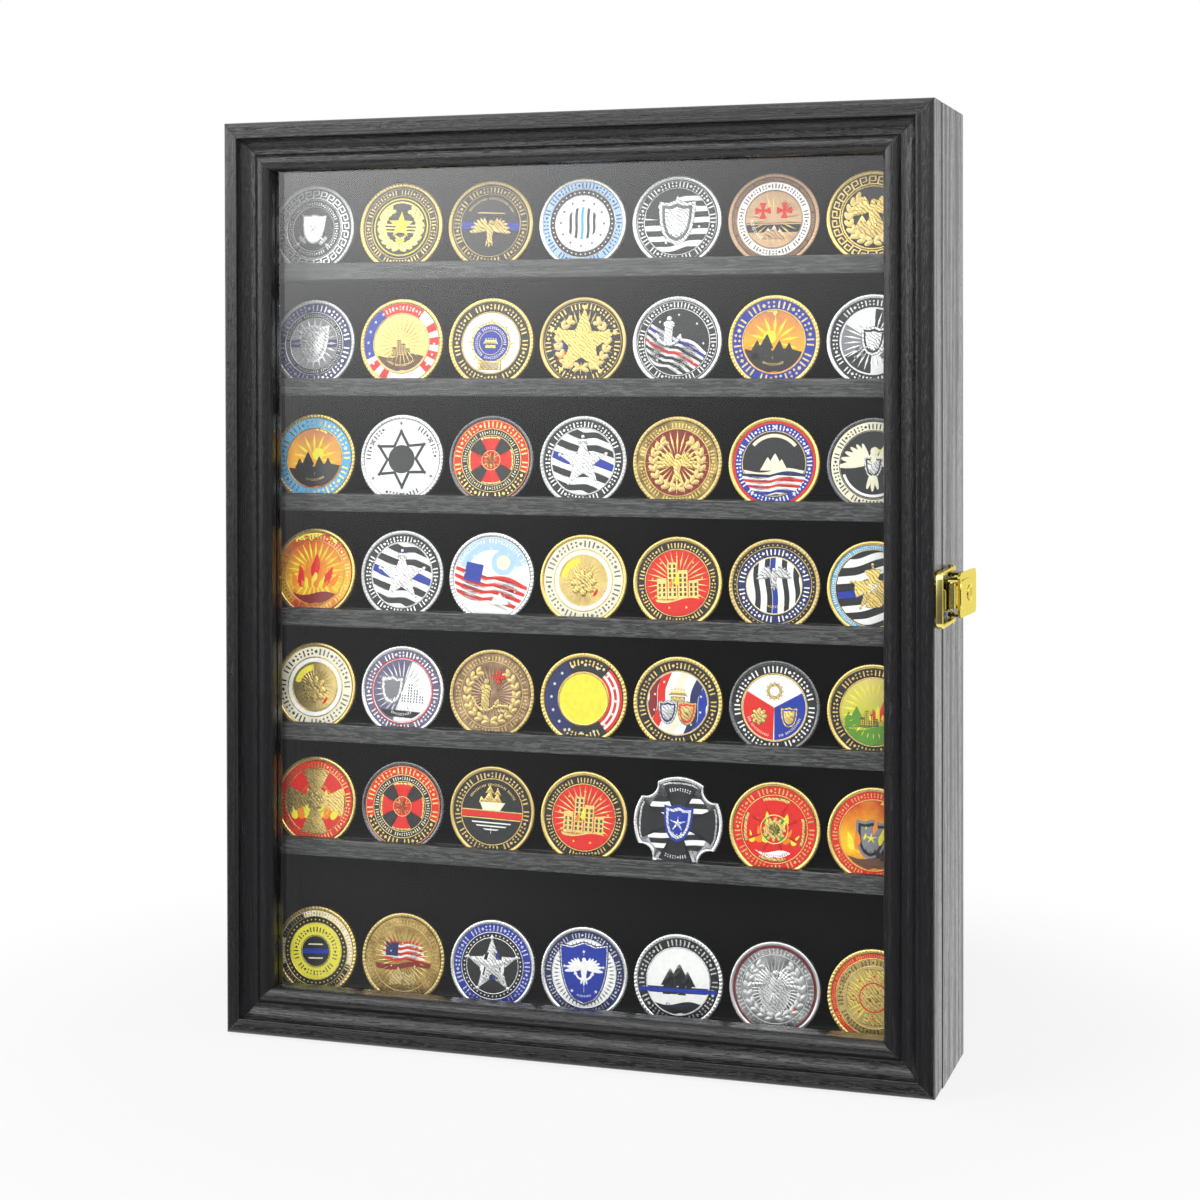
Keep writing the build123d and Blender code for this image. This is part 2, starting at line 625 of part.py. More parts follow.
# Pads on the door's back at its free edge, which fill the gap
with BuildPart() as door_bumpers:
    for bumper_z in (DOOR_BOTTOM_CLEAR + BUMPER_INSET, HEIGHT - BUMPER_INSET):
        with BuildSketch(Plane(origin=(RIGHT - BOARD / 2, DOOR_BACK, bumper_z), z_dir=(0, 1, 0))):
            Circle(BUMPER_RADIUS)
        extrude(amount=DOOR_GAP - BUMPER_PLAY)
save(door_bumpers.part, "door_bumpers")


def knuckle_spans(z_mid, own):
    """Lower and upper ends of a leaf's own knuckles, even ones or odd ones."""
    pitch = HINGE_HEIGHT / HINGE_KNUCKLES
    low = z_mid - HINGE_HEIGHT / 2
    return [
        (low + k * pitch + KNUCKLE_GAP / 2, low + (k + 1) * pitch - KNUCKLE_GAP / 2)
        for k in range(HINGE_KNUCKLES)
        if k % 2 == own
    ]


def hinge_leaf(z_mid, seat, face, own, screws):
    """A butt hinge leaf: a plate on the wood, its knuckles round the pin, and two screw holes."""
    near = LEFT + LEAF_CLEAR - (HINGE_SIDE_OFFSET - HINGE_BARREL_RADIUS)
    far = LEFT + HINGE_LEAF_REACH
    with BuildPart() as leaf:
        with Locations(((near + far) / 2, (seat + face) / 2, z_mid)):
            Box(far - near, HINGE_LEAF_THICK, HINGE_HEIGHT)
        for low, high in knuckle_spans(z_mid, own):
            with BuildSketch(Plane.XY.offset(low)):
                with Locations((HINGE_X, HINGE_Y)):
                    Circle(HINGE_BARREL_RADIUS)
                with Locations(((HINGE_X + near) / 2, (seat + face) / 2)):
                    Rectangle(near - HINGE_X, HINGE_LEAF_THICK)
            extrude(amount=high - low)
        with Locations(Location((HINGE_X, HINGE_Y, z_mid))):
            Cylinder(HINGE_PIN_RADIUS + HINGE_PIN_PLAY, 2 * HINGE_HEIGHT, mode=Mode.SUBTRACT)
        with Locations(*[place for place in screws if abs(place.position.Z - z_mid) < HINGE_HEIGHT / 2]):
            CounterSinkHole(SCREW_HOLE, SCREW_SINK, HINGE_LEAF_THICK, counter_sink_angle=90)
    return leaf.part


def hinge_pin(z_mid):
    """A hinge pin with a rounded cap on each end of the barrel."""
    half = HINGE_HEIGHT / 2
    with BuildPart() as pin:
        with Locations((HINGE_X, HINGE_Y, z_mid)):
            Cylinder(HINGE_PIN_RADIUS, HINGE_HEIGHT)
        for side in (-1, 1):
            with Locations((HINGE_X, HINGE_Y, z_mid + side * (half + PIN_CAP_THICK / 2))):
                Cylinder(PIN_CAP_RADIUS, PIN_CAP_THICK)
        for cap_end in (pin.edges().sort_by(Axis.Z)[0], pin.edges().sort_by(Axis.Z)[-1]):
            fillet(cap_end, PIN_CAP_THICK * 0.6)
    return pin.part


for level, hinge_z in HINGE_HEIGHTS.items():
    cabinet_leaf = hinge_leaf(hinge_z, FRONT, CABINET_LEAF_FACE, 0, CABINET_HINGE_SCREWS)
    door_leaf = hinge_leaf(hinge_z, DOOR_BACK, DOOR_LEAF_FACE, 1, DOOR_HINGE_SCREWS)
    save(cabinet_leaf, f"hinge_{level}_cabinet_leaf")
    save(door_leaf, f"hinge_{level}_door_leaf")
    save(hinge_pin(hinge_z), f"hinge_pin_{level}")
group(SCREW, CABINET_HINGE_SCREWS, "hinge_screws_cabinet")
group(SCREW, DOOR_HINGE_SCREWS, "hinge_screws_door")

# Keeper on the door's side, with a hook that the loop's crossbar pulls on
with BuildPart() as latch_keeper:
    keeper_mid = HOOK_FRONT + KEEPER_LENGTH / 2
    with Locations((RIGHT + KEEPER_THICK / 2, keeper_mid, LATCH_HEIGHT)):
        Box(KEEPER_THICK, KEEPER_LENGTH, 2 * KEEPER_HALF_HEIGHT)
    fillet(latch_keeper.edges().filter_by(Axis.X), KEEPER_CORNER)
    with Locations((RIGHT + HOOK_REACH / 2, HOOK_FRONT + HOOK_THICK / 2, LATCH_HEIGHT)):
        Box(HOOK_REACH, HOOK_THICK, 2 * HOOK_HALF_HEIGHT)
    hook_top = latch_keeper.faces().sort_by(Axis.X)[-1]
    fillet(hook_top.edges().filter_by(Axis.Y), HOOK_CORNER)
    with Locations(*KEEPER_SCREWS):
        CounterSinkHole(SCREW_HOLE, SCREW_SINK, KEEPER_THICK, counter_sink_angle=90)
save(latch_keeper.part, "latch_keeper")
group(SCREW, KEEPER_SCREWS, "keeper_screws")

# Lever surface: a plane along the lever's inner face, tilted so that its rear end stands off
TILT = radians(LEVER_TILT)
LEVER_NORMAL = (cos(TILT), -sin(TILT), 0)
LEVER_RUN = (sin(TILT), cos(TILT), 0)
LEVER_FACE = Plane(origin=(RIGHT + LEVER_LIFT, PIVOT_Y, LATCH_HEIGHT), x_dir=LEVER_RUN, z_dir=LEVER_NORMAL)


def on_lever(run, lift):
    """X and Y of a point at a distance along the lever and out from its inner face."""
    point = LEVER_FACE.from_local_coords((run, 0, lift))
    return point.X, point.Y


PLUG_X, PLUG_Y = on_lever(PLUG_FROM_PIVOT, 0)
CATCH_UNDERSIDE = PLUG_X - PLUG_DEPTH * cos(TILT) + CAM_CLEAR

# Base plate on the cabinet's side, rolled at its front into the barrel that the lever turns on
with BuildPart() as latch_base:
    base_start = PIVOT_Y + LATCH_BARREL_RADIUS + BASE_CLEAR
    with Locations((RIGHT + LATCH_SHEET / 2, (base_start + BASE_REAR) / 2, LATCH_HEIGHT)):
        Box(LATCH_SHEET, BASE_REAR - base_start, 2 * BASE_HALF_HEIGHT)
    fillet(latch_base.edges().filter_by(Axis.X).group_by(Axis.Y)[-1], BASE_CORNER)
    with BuildSketch(Plane.XY.offset(LATCH_HEIGHT - BARREL_HALF_HEIGHT)):
        with Locations((PIVOT_X, PIVOT_Y)):
            Circle(LATCH_BARREL_RADIUS)
        with Locations((RIGHT + LATCH_SHEET / 2 + 0.15, (PIVOT_Y + base_start) / 2)):
            Rectangle(LATCH_SHEET - 0.3, base_start - PIVOT_Y + 0.2)
    extrude(amount=2 * BARREL_HALF_HEIGHT)
    with Locations((PIVOT_X, PIVOT_Y, LATCH_HEIGHT)):
        Cylinder(LATCH_PIN_RADIUS + LATCH_PIN_PLAY, 4 * BARREL_HALF_HEIGHT, mode=Mode.SUBTRACT)
    # Catch: an upright beside the cam and a lip that the cam turns under
    with BuildSketch(Plane.XZ.offset(-(PLUG_Y - CATCH_WIDTH / 2))):
        with BuildLine():
            Polyline(
                (RIGHT + LATCH_SHEET / 2, LATCH_HEIGHT + CAM_LENGTH + CATCH_SET_IN),
                (CATCH_UNDERSIDE, LATCH_HEIGHT + CAM_LENGTH + CATCH_SET_IN),
                (CATCH_UNDERSIDE, LATCH_HEIGHT + PLUG_RADIUS + CATCH_PLUG_CLEAR),
                (CATCH_UNDERSIDE + CATCH_LIP, LATCH_HEIGHT + PLUG_RADIUS + CATCH_PLUG_CLEAR),
                (CATCH_UNDERSIDE + CATCH_LIP, LATCH_HEIGHT + BASE_HALF_HEIGHT - CATCH_SET_IN),
                (RIGHT + LATCH_SHEET / 2, LATCH_HEIGHT + BASE_HALF_HEIGHT - CATCH_SET_IN),
                close=True,
            )
        make_face()
    extrude(amount=-CATCH_WIDTH)
    with Locations(*BASE_SCREWS):
        CounterSinkHole(SCREW_HOLE, SCREW_SINK, LATCH_SHEET, counter_sink_angle=90)
save(latch_base.part, "latch_base")
group(SCREW, BASE_SCREWS, "latch_base_screws")


def both_ways(start, thick):
    """Lower ends of two matching cheeks, above and below the latch's middle."""
    return LATCH_HEIGHT + start, LATCH_HEIGHT - start - thick


# Lever: face plate, two ears on the pivot pin and two flanges that carry the loop
with BuildPart() as latch_lever:
    with BuildSketch(LEVER_FACE):
        with Locations((LEVER_LENGTH / 2, 0)):
            RectangleRounded(LEVER_LENGTH, 2 * LEVER_HALF_HEIGHT, LEVER_CORNER)
    extrude(amount=LATCH_SHEET)
    for ear_low in both_ways(EAR_START, EAR_THICK):
        with BuildSketch(Plane.XY.offset(ear_low)) as ear:
            with Locations((PIVOT_X, PIVOT_Y)):
                Circle(LATCH_BARREL_RADIUS - EAR_CLEAR)
            with Locations(on_lever(EAR_ROOT_NEAR, ROOT_LIFT), on_lever(EAR_ROOT_FAR, ROOT_LIFT)):
                Circle(ROOT_RADIUS)
            make_hull()
        extrude(amount=EAR_THICK)
    for flange_low in both_ways(FLANGE_START, EAR_THICK):
        with BuildSketch(Plane.XY.offset(flange_low)) as flange:
            with Locations((LOOP_PIVOT_X, LOOP_PIVOT_Y)):
                Circle(EYE_RADIUS)
            with Locations(on_lever(FLANGE_ROOT_NEAR, ROOT_LIFT), on_lever(FLANGE_ROOT_FAR, ROOT_LIFT)):
                Circle(ROOT_RADIUS)
            make_hull()
        extrude(amount=EAR_THICK)
    with Locations((PIVOT_X, PIVOT_Y, LATCH_HEIGHT)):
        Cylinder(LATCH_PIN_RADIUS + LATCH_PIN_PLAY, 2 * (EAR_START + EAR_THICK) + 1, mode=Mode.SUBTRACT)
    with Locations((LOOP_PIVOT_X, LOOP_PIVOT_Y, LATCH_HEIGHT)):
        Cylinder(RIVET_RADIUS + SCREW_PLAY, 4 * LEVER_HALF_HEIGHT, mode=Mode.SUBTRACT)
    with Locations(LEVER_FACE.location * Location((PLUG_FROM_PIVOT, 0, 0))):
        Cylinder(PLUG_RADIUS + PLUG_PLAY, 6 * LATCH_SHEET, mode=Mode.SUBTRACT)
save(latch_lever.part, "latch_lever")

# Pivot pin through barrel and ears, with a head at each end
with BuildPart() as lever_pin:
    pin_half = EAR_START + EAR_THICK + LATCH_PIN_PLAY
    with Locations((PIVOT_X, PIVOT_Y, LATCH_HEIGHT)):
        Cylinder(LATCH_PIN_RADIUS, 2 * pin_half)
    for side in (-1, 1):
        with Locations((PIVOT_X, PIVOT_Y, LATCH_HEIGHT + side * (pin_half + HEAD_THICK / 2))):
            Cylinder(EYE_RADIUS, HEAD_THICK)
    for cap_end in (lever_pin.edges().sort_by(Axis.Z)[0], lever_pin.edges().sort_by(Axis.Z)[-1]):
        fillet(cap_end, HEAD_ROUND)
save(lever_pin.part, "lever_pin")

# Loop: two arms from the stubs to the crossbar in front of the hook
CROSSBAR_X = RIGHT + LOOP_SIDE_CLEAR + LOOP_WIDTH / 2
with BuildPart() as latch_loop:
    for arm_low in both_ways(LOOP_HALF_HEIGHT - LOOP_SHEET, LOOP_SHEET):
        with BuildSketch(Plane.XY.offset(arm_low)):
            with Locations((LOOP_PIVOT_X, LOOP_PIVOT_Y)):
                Circle(EYE_RADIUS)
            with Locations((CROSSBAR_X, CROSSBAR_REAR)):
                Circle(LOOP_WIDTH / 2)
            make_hull()
        extrude(amount=LOOP_SHEET)
    with Locations((CROSSBAR_X, (CROSSBAR_FRONT + CROSSBAR_REAR) / 2, LATCH_HEIGHT)):
        Box(LOOP_WIDTH, LOOP_SHEET, 2 * LOOP_HALF_HEIGHT)
    crossbar_face = latch_loop.faces().sort_by(Axis.Y)[0]
    fillet(crossbar_face.edges().filter_by(Axis.X), LOOP_CORNER)
    with Locations((LOOP_PIVOT_X, LOOP_PIVOT_Y, LATCH_HEIGHT)):
        Cylinder(RIVET_RADIUS + LATCH_PIN_PLAY, 4 * LOOP_HALF_HEIGHT, mode=Mode.SUBTRACT)
save(latch_loop.part, "latch_loop")

# Stub rivets that join the loop to the lever's flanges
with BuildPart() as loop_rivets:
    for side in (-1, 1):
        rivet_in = FLANGE_START - LATCH_PIN_PLAY
        rivet_out = LOOP_HALF_HEIGHT + LATCH_PIN_PLAY
        with Locations((LOOP_PIVOT_X, LOOP_PIVOT_Y, LATCH_HEIGHT + side * (rivet_in + rivet_out) / 2)):
            Cylinder(RIVET_RADIUS, rivet_out - rivet_in)
        with Locations(
            (LOOP_PIVOT_X, LOOP_PIVOT_Y, LATCH_HEIGHT + side * (rivet_out + HEAD_THICK / 2)),
            (LOOP_PIVOT_X, LOOP_PIVOT_Y, LATCH_HEIGHT + side * (rivet_in - HEAD_THICK / 2)),
        ):
            Cylinder(RIVET_HEAD_RADIUS, HEAD_THICK)
save(loop_rivets.part, "loop_rivets")

# Key plug through the lever, and the cam on its inner end
with BuildPart() as lock_plug:
    with BuildSketch(LEVER_FACE.offset(-PLUG_DEPTH)):
        with Locations((PLUG_FROM_PIVOT, 0)):
            Circle(PLUG_RADIUS)
    extrude(amount=PLUG_DEPTH + LATCH_SHEET + PLUG_STAND)
    with BuildSketch(LEVER_FACE.offset(LATCH_SHEET + COLLAR_LIFT)):
        with Locations((PLUG_FROM_PIVOT, 0)):
            Circle(PLUG_RADIUS + COLLAR_WIDTH)
    extrude(amount=COLLAR_THICK)
    with BuildSketch(LEVER_FACE.offset(LATCH_SHEET + COLLAR_LIFT + COLLAR_THICK + COLLAR_LIFT)):
        with Locations((PLUG_FROM_PIVOT, 0)):
            Rectangle(KEY_SLOT_WIDTH, KEY_SLOT_LENGTH)
    extrude(amount=-KEY_SLOT_DEPTH, mode=Mode.SUBTRACT)
save(lock_plug.part, "lock_plug")

with BuildPart() as lock_cam:
    with BuildSketch(LEVER_FACE.offset(-PLUG_DEPTH)):
        with Locations((PLUG_FROM_PIVOT, 0)):
            Circle(CAM_WIDTH / 2)
        with Locations((PLUG_FROM_PIVOT + (CAM_LENGTH - CAM_WIDTH / 2) / 2, 0)):
            Rectangle(CAM_LENGTH - CAM_WIDTH / 2, CAM_WIDTH)
        with Locations((PLUG_FROM_PIVOT + CAM_LENGTH - CAM_WIDTH / 2, 0)):
            Circle(CAM_WIDTH / 2)
    extrude(amount=-CAM_THICK)
save(lock_cam.part, "lock_cam")
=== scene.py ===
import math

import bpy
import numpy as np
from mathutils import Matrix, Vector


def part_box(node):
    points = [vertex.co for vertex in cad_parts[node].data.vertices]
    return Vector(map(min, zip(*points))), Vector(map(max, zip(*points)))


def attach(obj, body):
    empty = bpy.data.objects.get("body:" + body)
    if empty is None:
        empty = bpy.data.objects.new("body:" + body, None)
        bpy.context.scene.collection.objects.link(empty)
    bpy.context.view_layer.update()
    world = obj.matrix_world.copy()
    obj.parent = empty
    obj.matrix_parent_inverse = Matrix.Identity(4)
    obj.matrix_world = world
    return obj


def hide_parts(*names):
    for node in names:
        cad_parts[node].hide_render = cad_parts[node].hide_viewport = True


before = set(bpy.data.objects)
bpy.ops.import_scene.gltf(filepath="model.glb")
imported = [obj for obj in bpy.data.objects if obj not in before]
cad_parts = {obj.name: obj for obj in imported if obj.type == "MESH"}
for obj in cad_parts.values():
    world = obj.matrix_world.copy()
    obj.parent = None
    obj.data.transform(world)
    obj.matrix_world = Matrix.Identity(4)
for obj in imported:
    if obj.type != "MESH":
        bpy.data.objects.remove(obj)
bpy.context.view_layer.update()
print("frame loaded:", len(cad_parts), "nodes")


# short ways to write node trees

def fill(tree, socket, value):
    # links a socket, or writes a number or colour into it
    if isinstance(value, bpy.types.NodeSocket):
        tree.links.new(value, socket)
    elif socket.type == "RGBA" and len(value) == 3:
        socket.default_value = (*value, 1.0)
    else:
        socket.default_value = value


def put(tree, kind, settings=None, **inputs):
    node = tree.nodes.new("ShaderNode" + kind)
    for key, value in (settings or {}).items():
        setattr(node, key, value)
    for key, value in inputs.items():
        fill(tree, node.inputs[key], value)
    return node


def calc(tree, operation, *values):
    node = tree.nodes.new("ShaderNodeMath")
    node.operation = operation
    for socket, value in zip(node.inputs, values):
        fill(tree, socket, value)
    return node.outputs[0]


def folded(operation):
    # takes in any number of values, one after the other
    def run(tree, total, *others):
        for other in others:
            total = calc(tree, operation, total, other)
        return total
    return run


times, plus, minus, larger = (folded(word) for word in ("MULTIPLY", "ADD", "SUBTRACT", "MAXIMUM"))


def fade(tree, value, low, high, start=0.0, end=1.0):
    # start below low, end above high, a smooth step between
    ends = {"From Min": low, "From Max": high, "To Min": start, "To Max": end}
    return put(tree, "MapRange", {"interpolation_type": "SMOOTHSTEP"}, Value=value, **ends).outputs[0]


def mixColour(tree, share, first, second):
    node = put(tree, "Mix", {"data_type": "RGBA"})
    for number, value in ((0, share), (6, first), (7, second)):
        fill(tree, node.inputs[number], value)
    return node.outputs[2]


def mixShader(tree, share, first, second):
    node = put(tree, "MixShader")
    for socket, value in zip(node.inputs, (share, first.outputs[0], second.outputs[0])):
        fill(tree, socket, value)
    return node


def noise(tree, place, scale, detail=2.0, rough=0.5, distortion=0.0):
    return put(tree, "TexNoise", Vector=place, Scale=scale, Detail=detail, Roughness=rough,
               Distortion=distortion).outputs[0]


def scaled(tree, place, scale, shift=(0, 0, 0)):
    return put(tree, "Mapping", Vector=place, Scale=scale, Location=shift).outputs[0]


def bump(tree, height, distance, strength=1.0):
    return put(tree, "Bump", Height=height, Distance=distance, Strength=strength).outputs[0]


def coordinates(tree, kind="Object"):
    return put(tree, "TexCoord").outputs[kind]


def parted(tree, vector):
    return put(tree, "SeparateXYZ", Vector=vector).outputs


def attribute(tree, name, output="Fac"):
    return put(tree, "Attribute", {"attribute_name": name}).outputs[output]


def startMaterial(name, roughness=0.5, metallic=0.0):
    material = bpy.data.materials.new(name)
    material.use_nodes = True
    tree = material.node_tree
    shader = tree.nodes["Principled BSDF"]
    shader.inputs["Roughness"].default_value = roughness
    shader.inputs["Metallic"].default_value = metallic
    return material, tree, shader


def dress(tree, shader, colour, normal=None, roughness=None):
    for name, value in (("Base Color", colour), ("Normal", normal), ("Roughness", roughness)):
        if value is not None:
            fill(tree, shader.inputs[name], value)


def showInstead(tree, node):
    tree.links.new(node.outputs[0], tree.nodes["Material Output"].inputs["Surface"])


def placeObject(name, data):
    thing = bpy.data.objects.new(name, data)
    bpy.context.collection.objects.link(thing)
    return thing


# camera at the photograph's place

cameraView = {
    "place": (0.3457, -1.0529, 0.3214),   # metres
    "turnLeft": 18.07,                    # degrees
    "tiltUp": -0.52,
    "roll": -0.11,
    "lens": 70.1,                         # mm, on a frame this wide
    "frameWidth": 36.0,
    "shiftDown": 0.1813,
}


def makeCamera(look):
    lens = bpy.data.cameras.new("photoCamera")
    lens.lens = look["lens"]
    lens.sensor_width = look["frameWidth"]
    lens.shift_y = -look["shiftDown"]
    lens.clip_start = 0.02
    rig = placeObject("photoCamera", lens)
    turn = Matrix.Rotation(math.radians(look["turnLeft"]), 4, "Z")
    tilt = Matrix.Rotation(math.radians(90 + look["tiltUp"]), 4, "X")
    roll = Matrix.Rotation(math.radians(look["roll"]), 4, "Z")
    rig.matrix_world = Matrix.Translation(look["place"]) @ turn @ tilt @ roll
    bpy.context.scene.camera = rig


makeCamera(cameraView)
print("camera placed")


# studio: white surround, a glow from the upper left front for polished surfaces, two soft lamps

studioLook = {
    "soft": 0.32,          # world light on matt surfaces
    "behind": 1.25,        # what polished surfaces see behind the cabinet
    "glow": 4.8,           # what they see in front, a band high on the left
    "ceiling": 1.3,        # what they see above that band
    "strip": 2.5,          # a narrow lamp overhead, which draws the bright lines along the mouldings
    "room": (0.15, 0.36),  # what they see elsewhere in front, to the right and to the left
    "below": 0.95,         # what they see on the floor close by
    # where these begin and end, on directions from -1 to 1
    "glowRise": (-0.30, 0.14), "glowPower": 5.0, "glowTop": (0.12, 0.30),
    "glowLeft": (-0.10, -0.50, 0.17),      # and the share that is left of it on the right
    "ceilingRise": (0.05, 0.30), "belowFrom": (-0.42, -0.72), "front": (0.15, -0.15), "overhead": (0.45, 0.70),
    "wallNear": (-0.20, -0.45), "wallFar": (-0.90, -0.60),
    "stripRise": (0.38, 0.50), "stripTop": (0.85, 0.70), "stripFront": (-0.15, -0.35),
    "behindFrom": (-0.10, 0.30), "behindTop": (0.12, 0.34), "behindHigh": 0.3,
    "fillLamp": {"place": (0.55, -2.3, 0.75), "size": 1.4, "level": 0.94},
    "topLamp": {"place": (-0.9, -1.1, 1.9), "size": 1.0, "level": 0.25},
    "aim": (0.0, 0.0, 0.22),
    "floorHalf": 6.0, "floorDrop": 0.0002,
    "floorTone": (0.86, 0.86, 0.86),
    "shadeReach": (0.20, 0.42),            # from here on out the floor turns from shaded to plain white
    "shadeShare": 0.84,                    # white mixed in close to the cabinet
}
white = (1, 1, 1)


def makeWorld(look):
    # directions run from -1 to 1: side is to the right, deep is to the back, high is up
    world = bpy.data.worlds.new("studio")
    bpy.context.scene.world = world
    world.use_nodes = True
    world.cycles.sampling_method = "NONE"    # each kind of ray finds its own strength
    tree = world.node_tree
    tree.nodes.clear()
    side, deep, high = parted(tree, coordinates(tree, "Generated"))
    # the glow rises with a power of the height and is strongest to the left
    rise = calc(tree, "POWER", fade(tree, high, *look["glowRise"]), look["glowPower"])
    left = fade(tree, side, *look["glowLeft"])
    glow = times(tree, rise, left, fade(tree, high, *look["glowTop"], look["glow"], 0.0))
    ceiling = times(tree, fade(tree, high, *look["ceilingRise"]), look["ceiling"])
    below = times(tree, fade(tree, high, *look["belowFrom"]), look["below"])
    forward = larger(tree, fade(tree, deep, *look["front"]), fade(tree, high, *look["overhead"]))
    ahead = times(tree, plus(tree, glow, ceiling), forward)
    leftWall = times(tree, fade(tree, side, *look["wallNear"]), fade(tree, side, *look["wallFar"]))
    room = fade(tree, leftWall, 0.0, 1.0, *look["room"])
    strip = times(tree, fade(tree, high, *look["stripRise"]), fade(tree, high, *look["stripTop"]),
                  fade(tree, deep, *look["stripFront"], 0.0, look["strip"]))
    behind = times(tree, fade(tree, deep, *look["behindFrom"], 0.0, look["behind"]),
                   fade(tree, high, *look["behindTop"], 1.0, look["behindHigh"]))
    seen = larger(tree, plus(tree, ahead, below, room, strip), behind)
    rays = put(tree, "LightPath").outputs
    gloss, soft, plain = (put(tree, "Background", Color=white, Strength=strength)
                          for strength in (seen, look["soft"], 1.0))
    lit = mixShader(tree, rays["Is Glossy Ray"], soft, gloss)
    clear = larger(tree, rays["Is Camera Ray"], rays["Is Transmission Ray"])
    shown = mixShader(tree, clear, lit, plain)
    tree.links.new(shown.outputs[0], put(tree, "OutputWorld").inputs["Surface"])


def makeLamp(name, look, aim):
    lamp = bpy.data.lights.new(name, "AREA")
    lamp.size = look["size"]
    rig = placeObject(name, lamp)
    rig.visible_glossy = False               # the world alone shows in polished surfaces
    away = Vector(look["place"]) - Vector(aim)
    lamp.energy = look["level"] * math.pi ** 2 * away.length ** 2   # level 1 lights a white card to white
    rig.matrix_world = Matrix.Translation(look["place"]) @ away.to_track_quat("Z", "Y").to_matrix().to_4x4()


def makeFloor(look):
    # flat square grid just under the cabinet
    count = 5
    steps = np.linspace(-look["floorHalf"], look["floorHalf"], count)
    x, y = np.meshgrid(steps, steps)
    points = np.stack([x, y, np.full_like(x, -look["floorDrop"])], -1).reshape(-1, 3)
    index = np.arange(count * count).reshape(count, count)
    faces = np.stack([index[:-1, :-1], index[:-1, 1:], index[1:, 1:], index[1:, :-1]], -1).reshape(-1, 4)
    mesh = bpy.data.meshes.new("floor")
    mesh.from_pydata(points.tolist(), [], faces.tolist())
    floor = placeObject("floor", mesh)
    material, tree, shader = startMaterial("paleFloor", 0.9)
    dress(tree, shader, look["floorTone"])
    shader.inputs["Specular IOR Level"].default_value = 0.0
    # near the cabinet the floor keeps a part of its own shade, further out it is plain white
    x, y, z = parted(tree, coordinates(tree))
    far = calc(tree, "SQRT", plus(tree, times(tree, x, x), times(tree, y, y)))
    plainShare = fade(tree, far, *look["shadeReach"], look["shadeShare"], 1.0)
    seen = times(tree, plainShare, put(tree, "LightPath").outputs["Is Camera Ray"])
    showInstead(tree, mixShader(tree, seen, shader, put(tree, "Emission", Color=white, Strength=1.0)))
    mesh.materials.append(material)
    floor.visible_glossy = False


makeWorld(studioLook)
for lampName in ("fillLamp", "topLamp"):
    makeLamp(lampName, studioLook[lampName], studioLook["aim"])
makeFloor(studioLook)
bpy.context.scene.view_settings.view_transform = "Standard"
print("studio lit")


# black lacquered wood with open grain along each member

woodLook = {
    "black": (0.008, 0.008, 0.009),
    "pit": (0.010, 0.010, 0.011),
    "worn": (0.030, 0.030, 0.032),      # raised fibres, rubbed paler
    "frontWorn": 0.35, "sideWornAndSheen": 0.6,  # how much of it shows on the fronts and on the outer sides; the larger share on the sides is wear and a painted sheen for the grazing light there
    "lip": (0.190, 0.190, 0.194),       # on the front edges of the shelves the raised fibres are painted far paler: painted light, as if lit from above
    # the black of the shelves' front edges, lifted: painted light as well
    "lipBlackPaintedLight": (0.036, 0.036, 0.038),
    "shelfFront": -0.0258,
    "gloss": (0.17, 0.24),              # roughness of the ridges and of the hollows
    "side": (0.0075, 0.22, 0.17),       # wide streaks on the outer sides: width, length, how much rougher
    "pore": (0.00050, 0.010),           # width and length, metres
    "streak": (0.0014, 0.045),
    "fleck": (0.0008, 0.006),
    "ringWidth": 0.0042, "ringEdge": (0.40, 0.95), "ringPores": 0.25,
    "poreEdge": (0.53, 0.66), "fleckEdge": (0.50, 0.60), "ridgeEdge": (0.48, 0.74), "bandEdge": (0.42, 0.62),
    "pitShade": 0.6, "pitRougher": 0.16, "lipFlecks": 0.6,
    "relief": 0.00015, "frontRelief": 0.06, "sideRelief": 0.40, "ringRelief": 0.06, "fleckRelief": 0.35,
    "arris": 0.0007,                    # sanded edges
    "inner": (0.1604, -0.0255, 0.218, 0.2069),   # half width, front, middle height, half height of the hollow
    "innerRougher": 0.22,
}


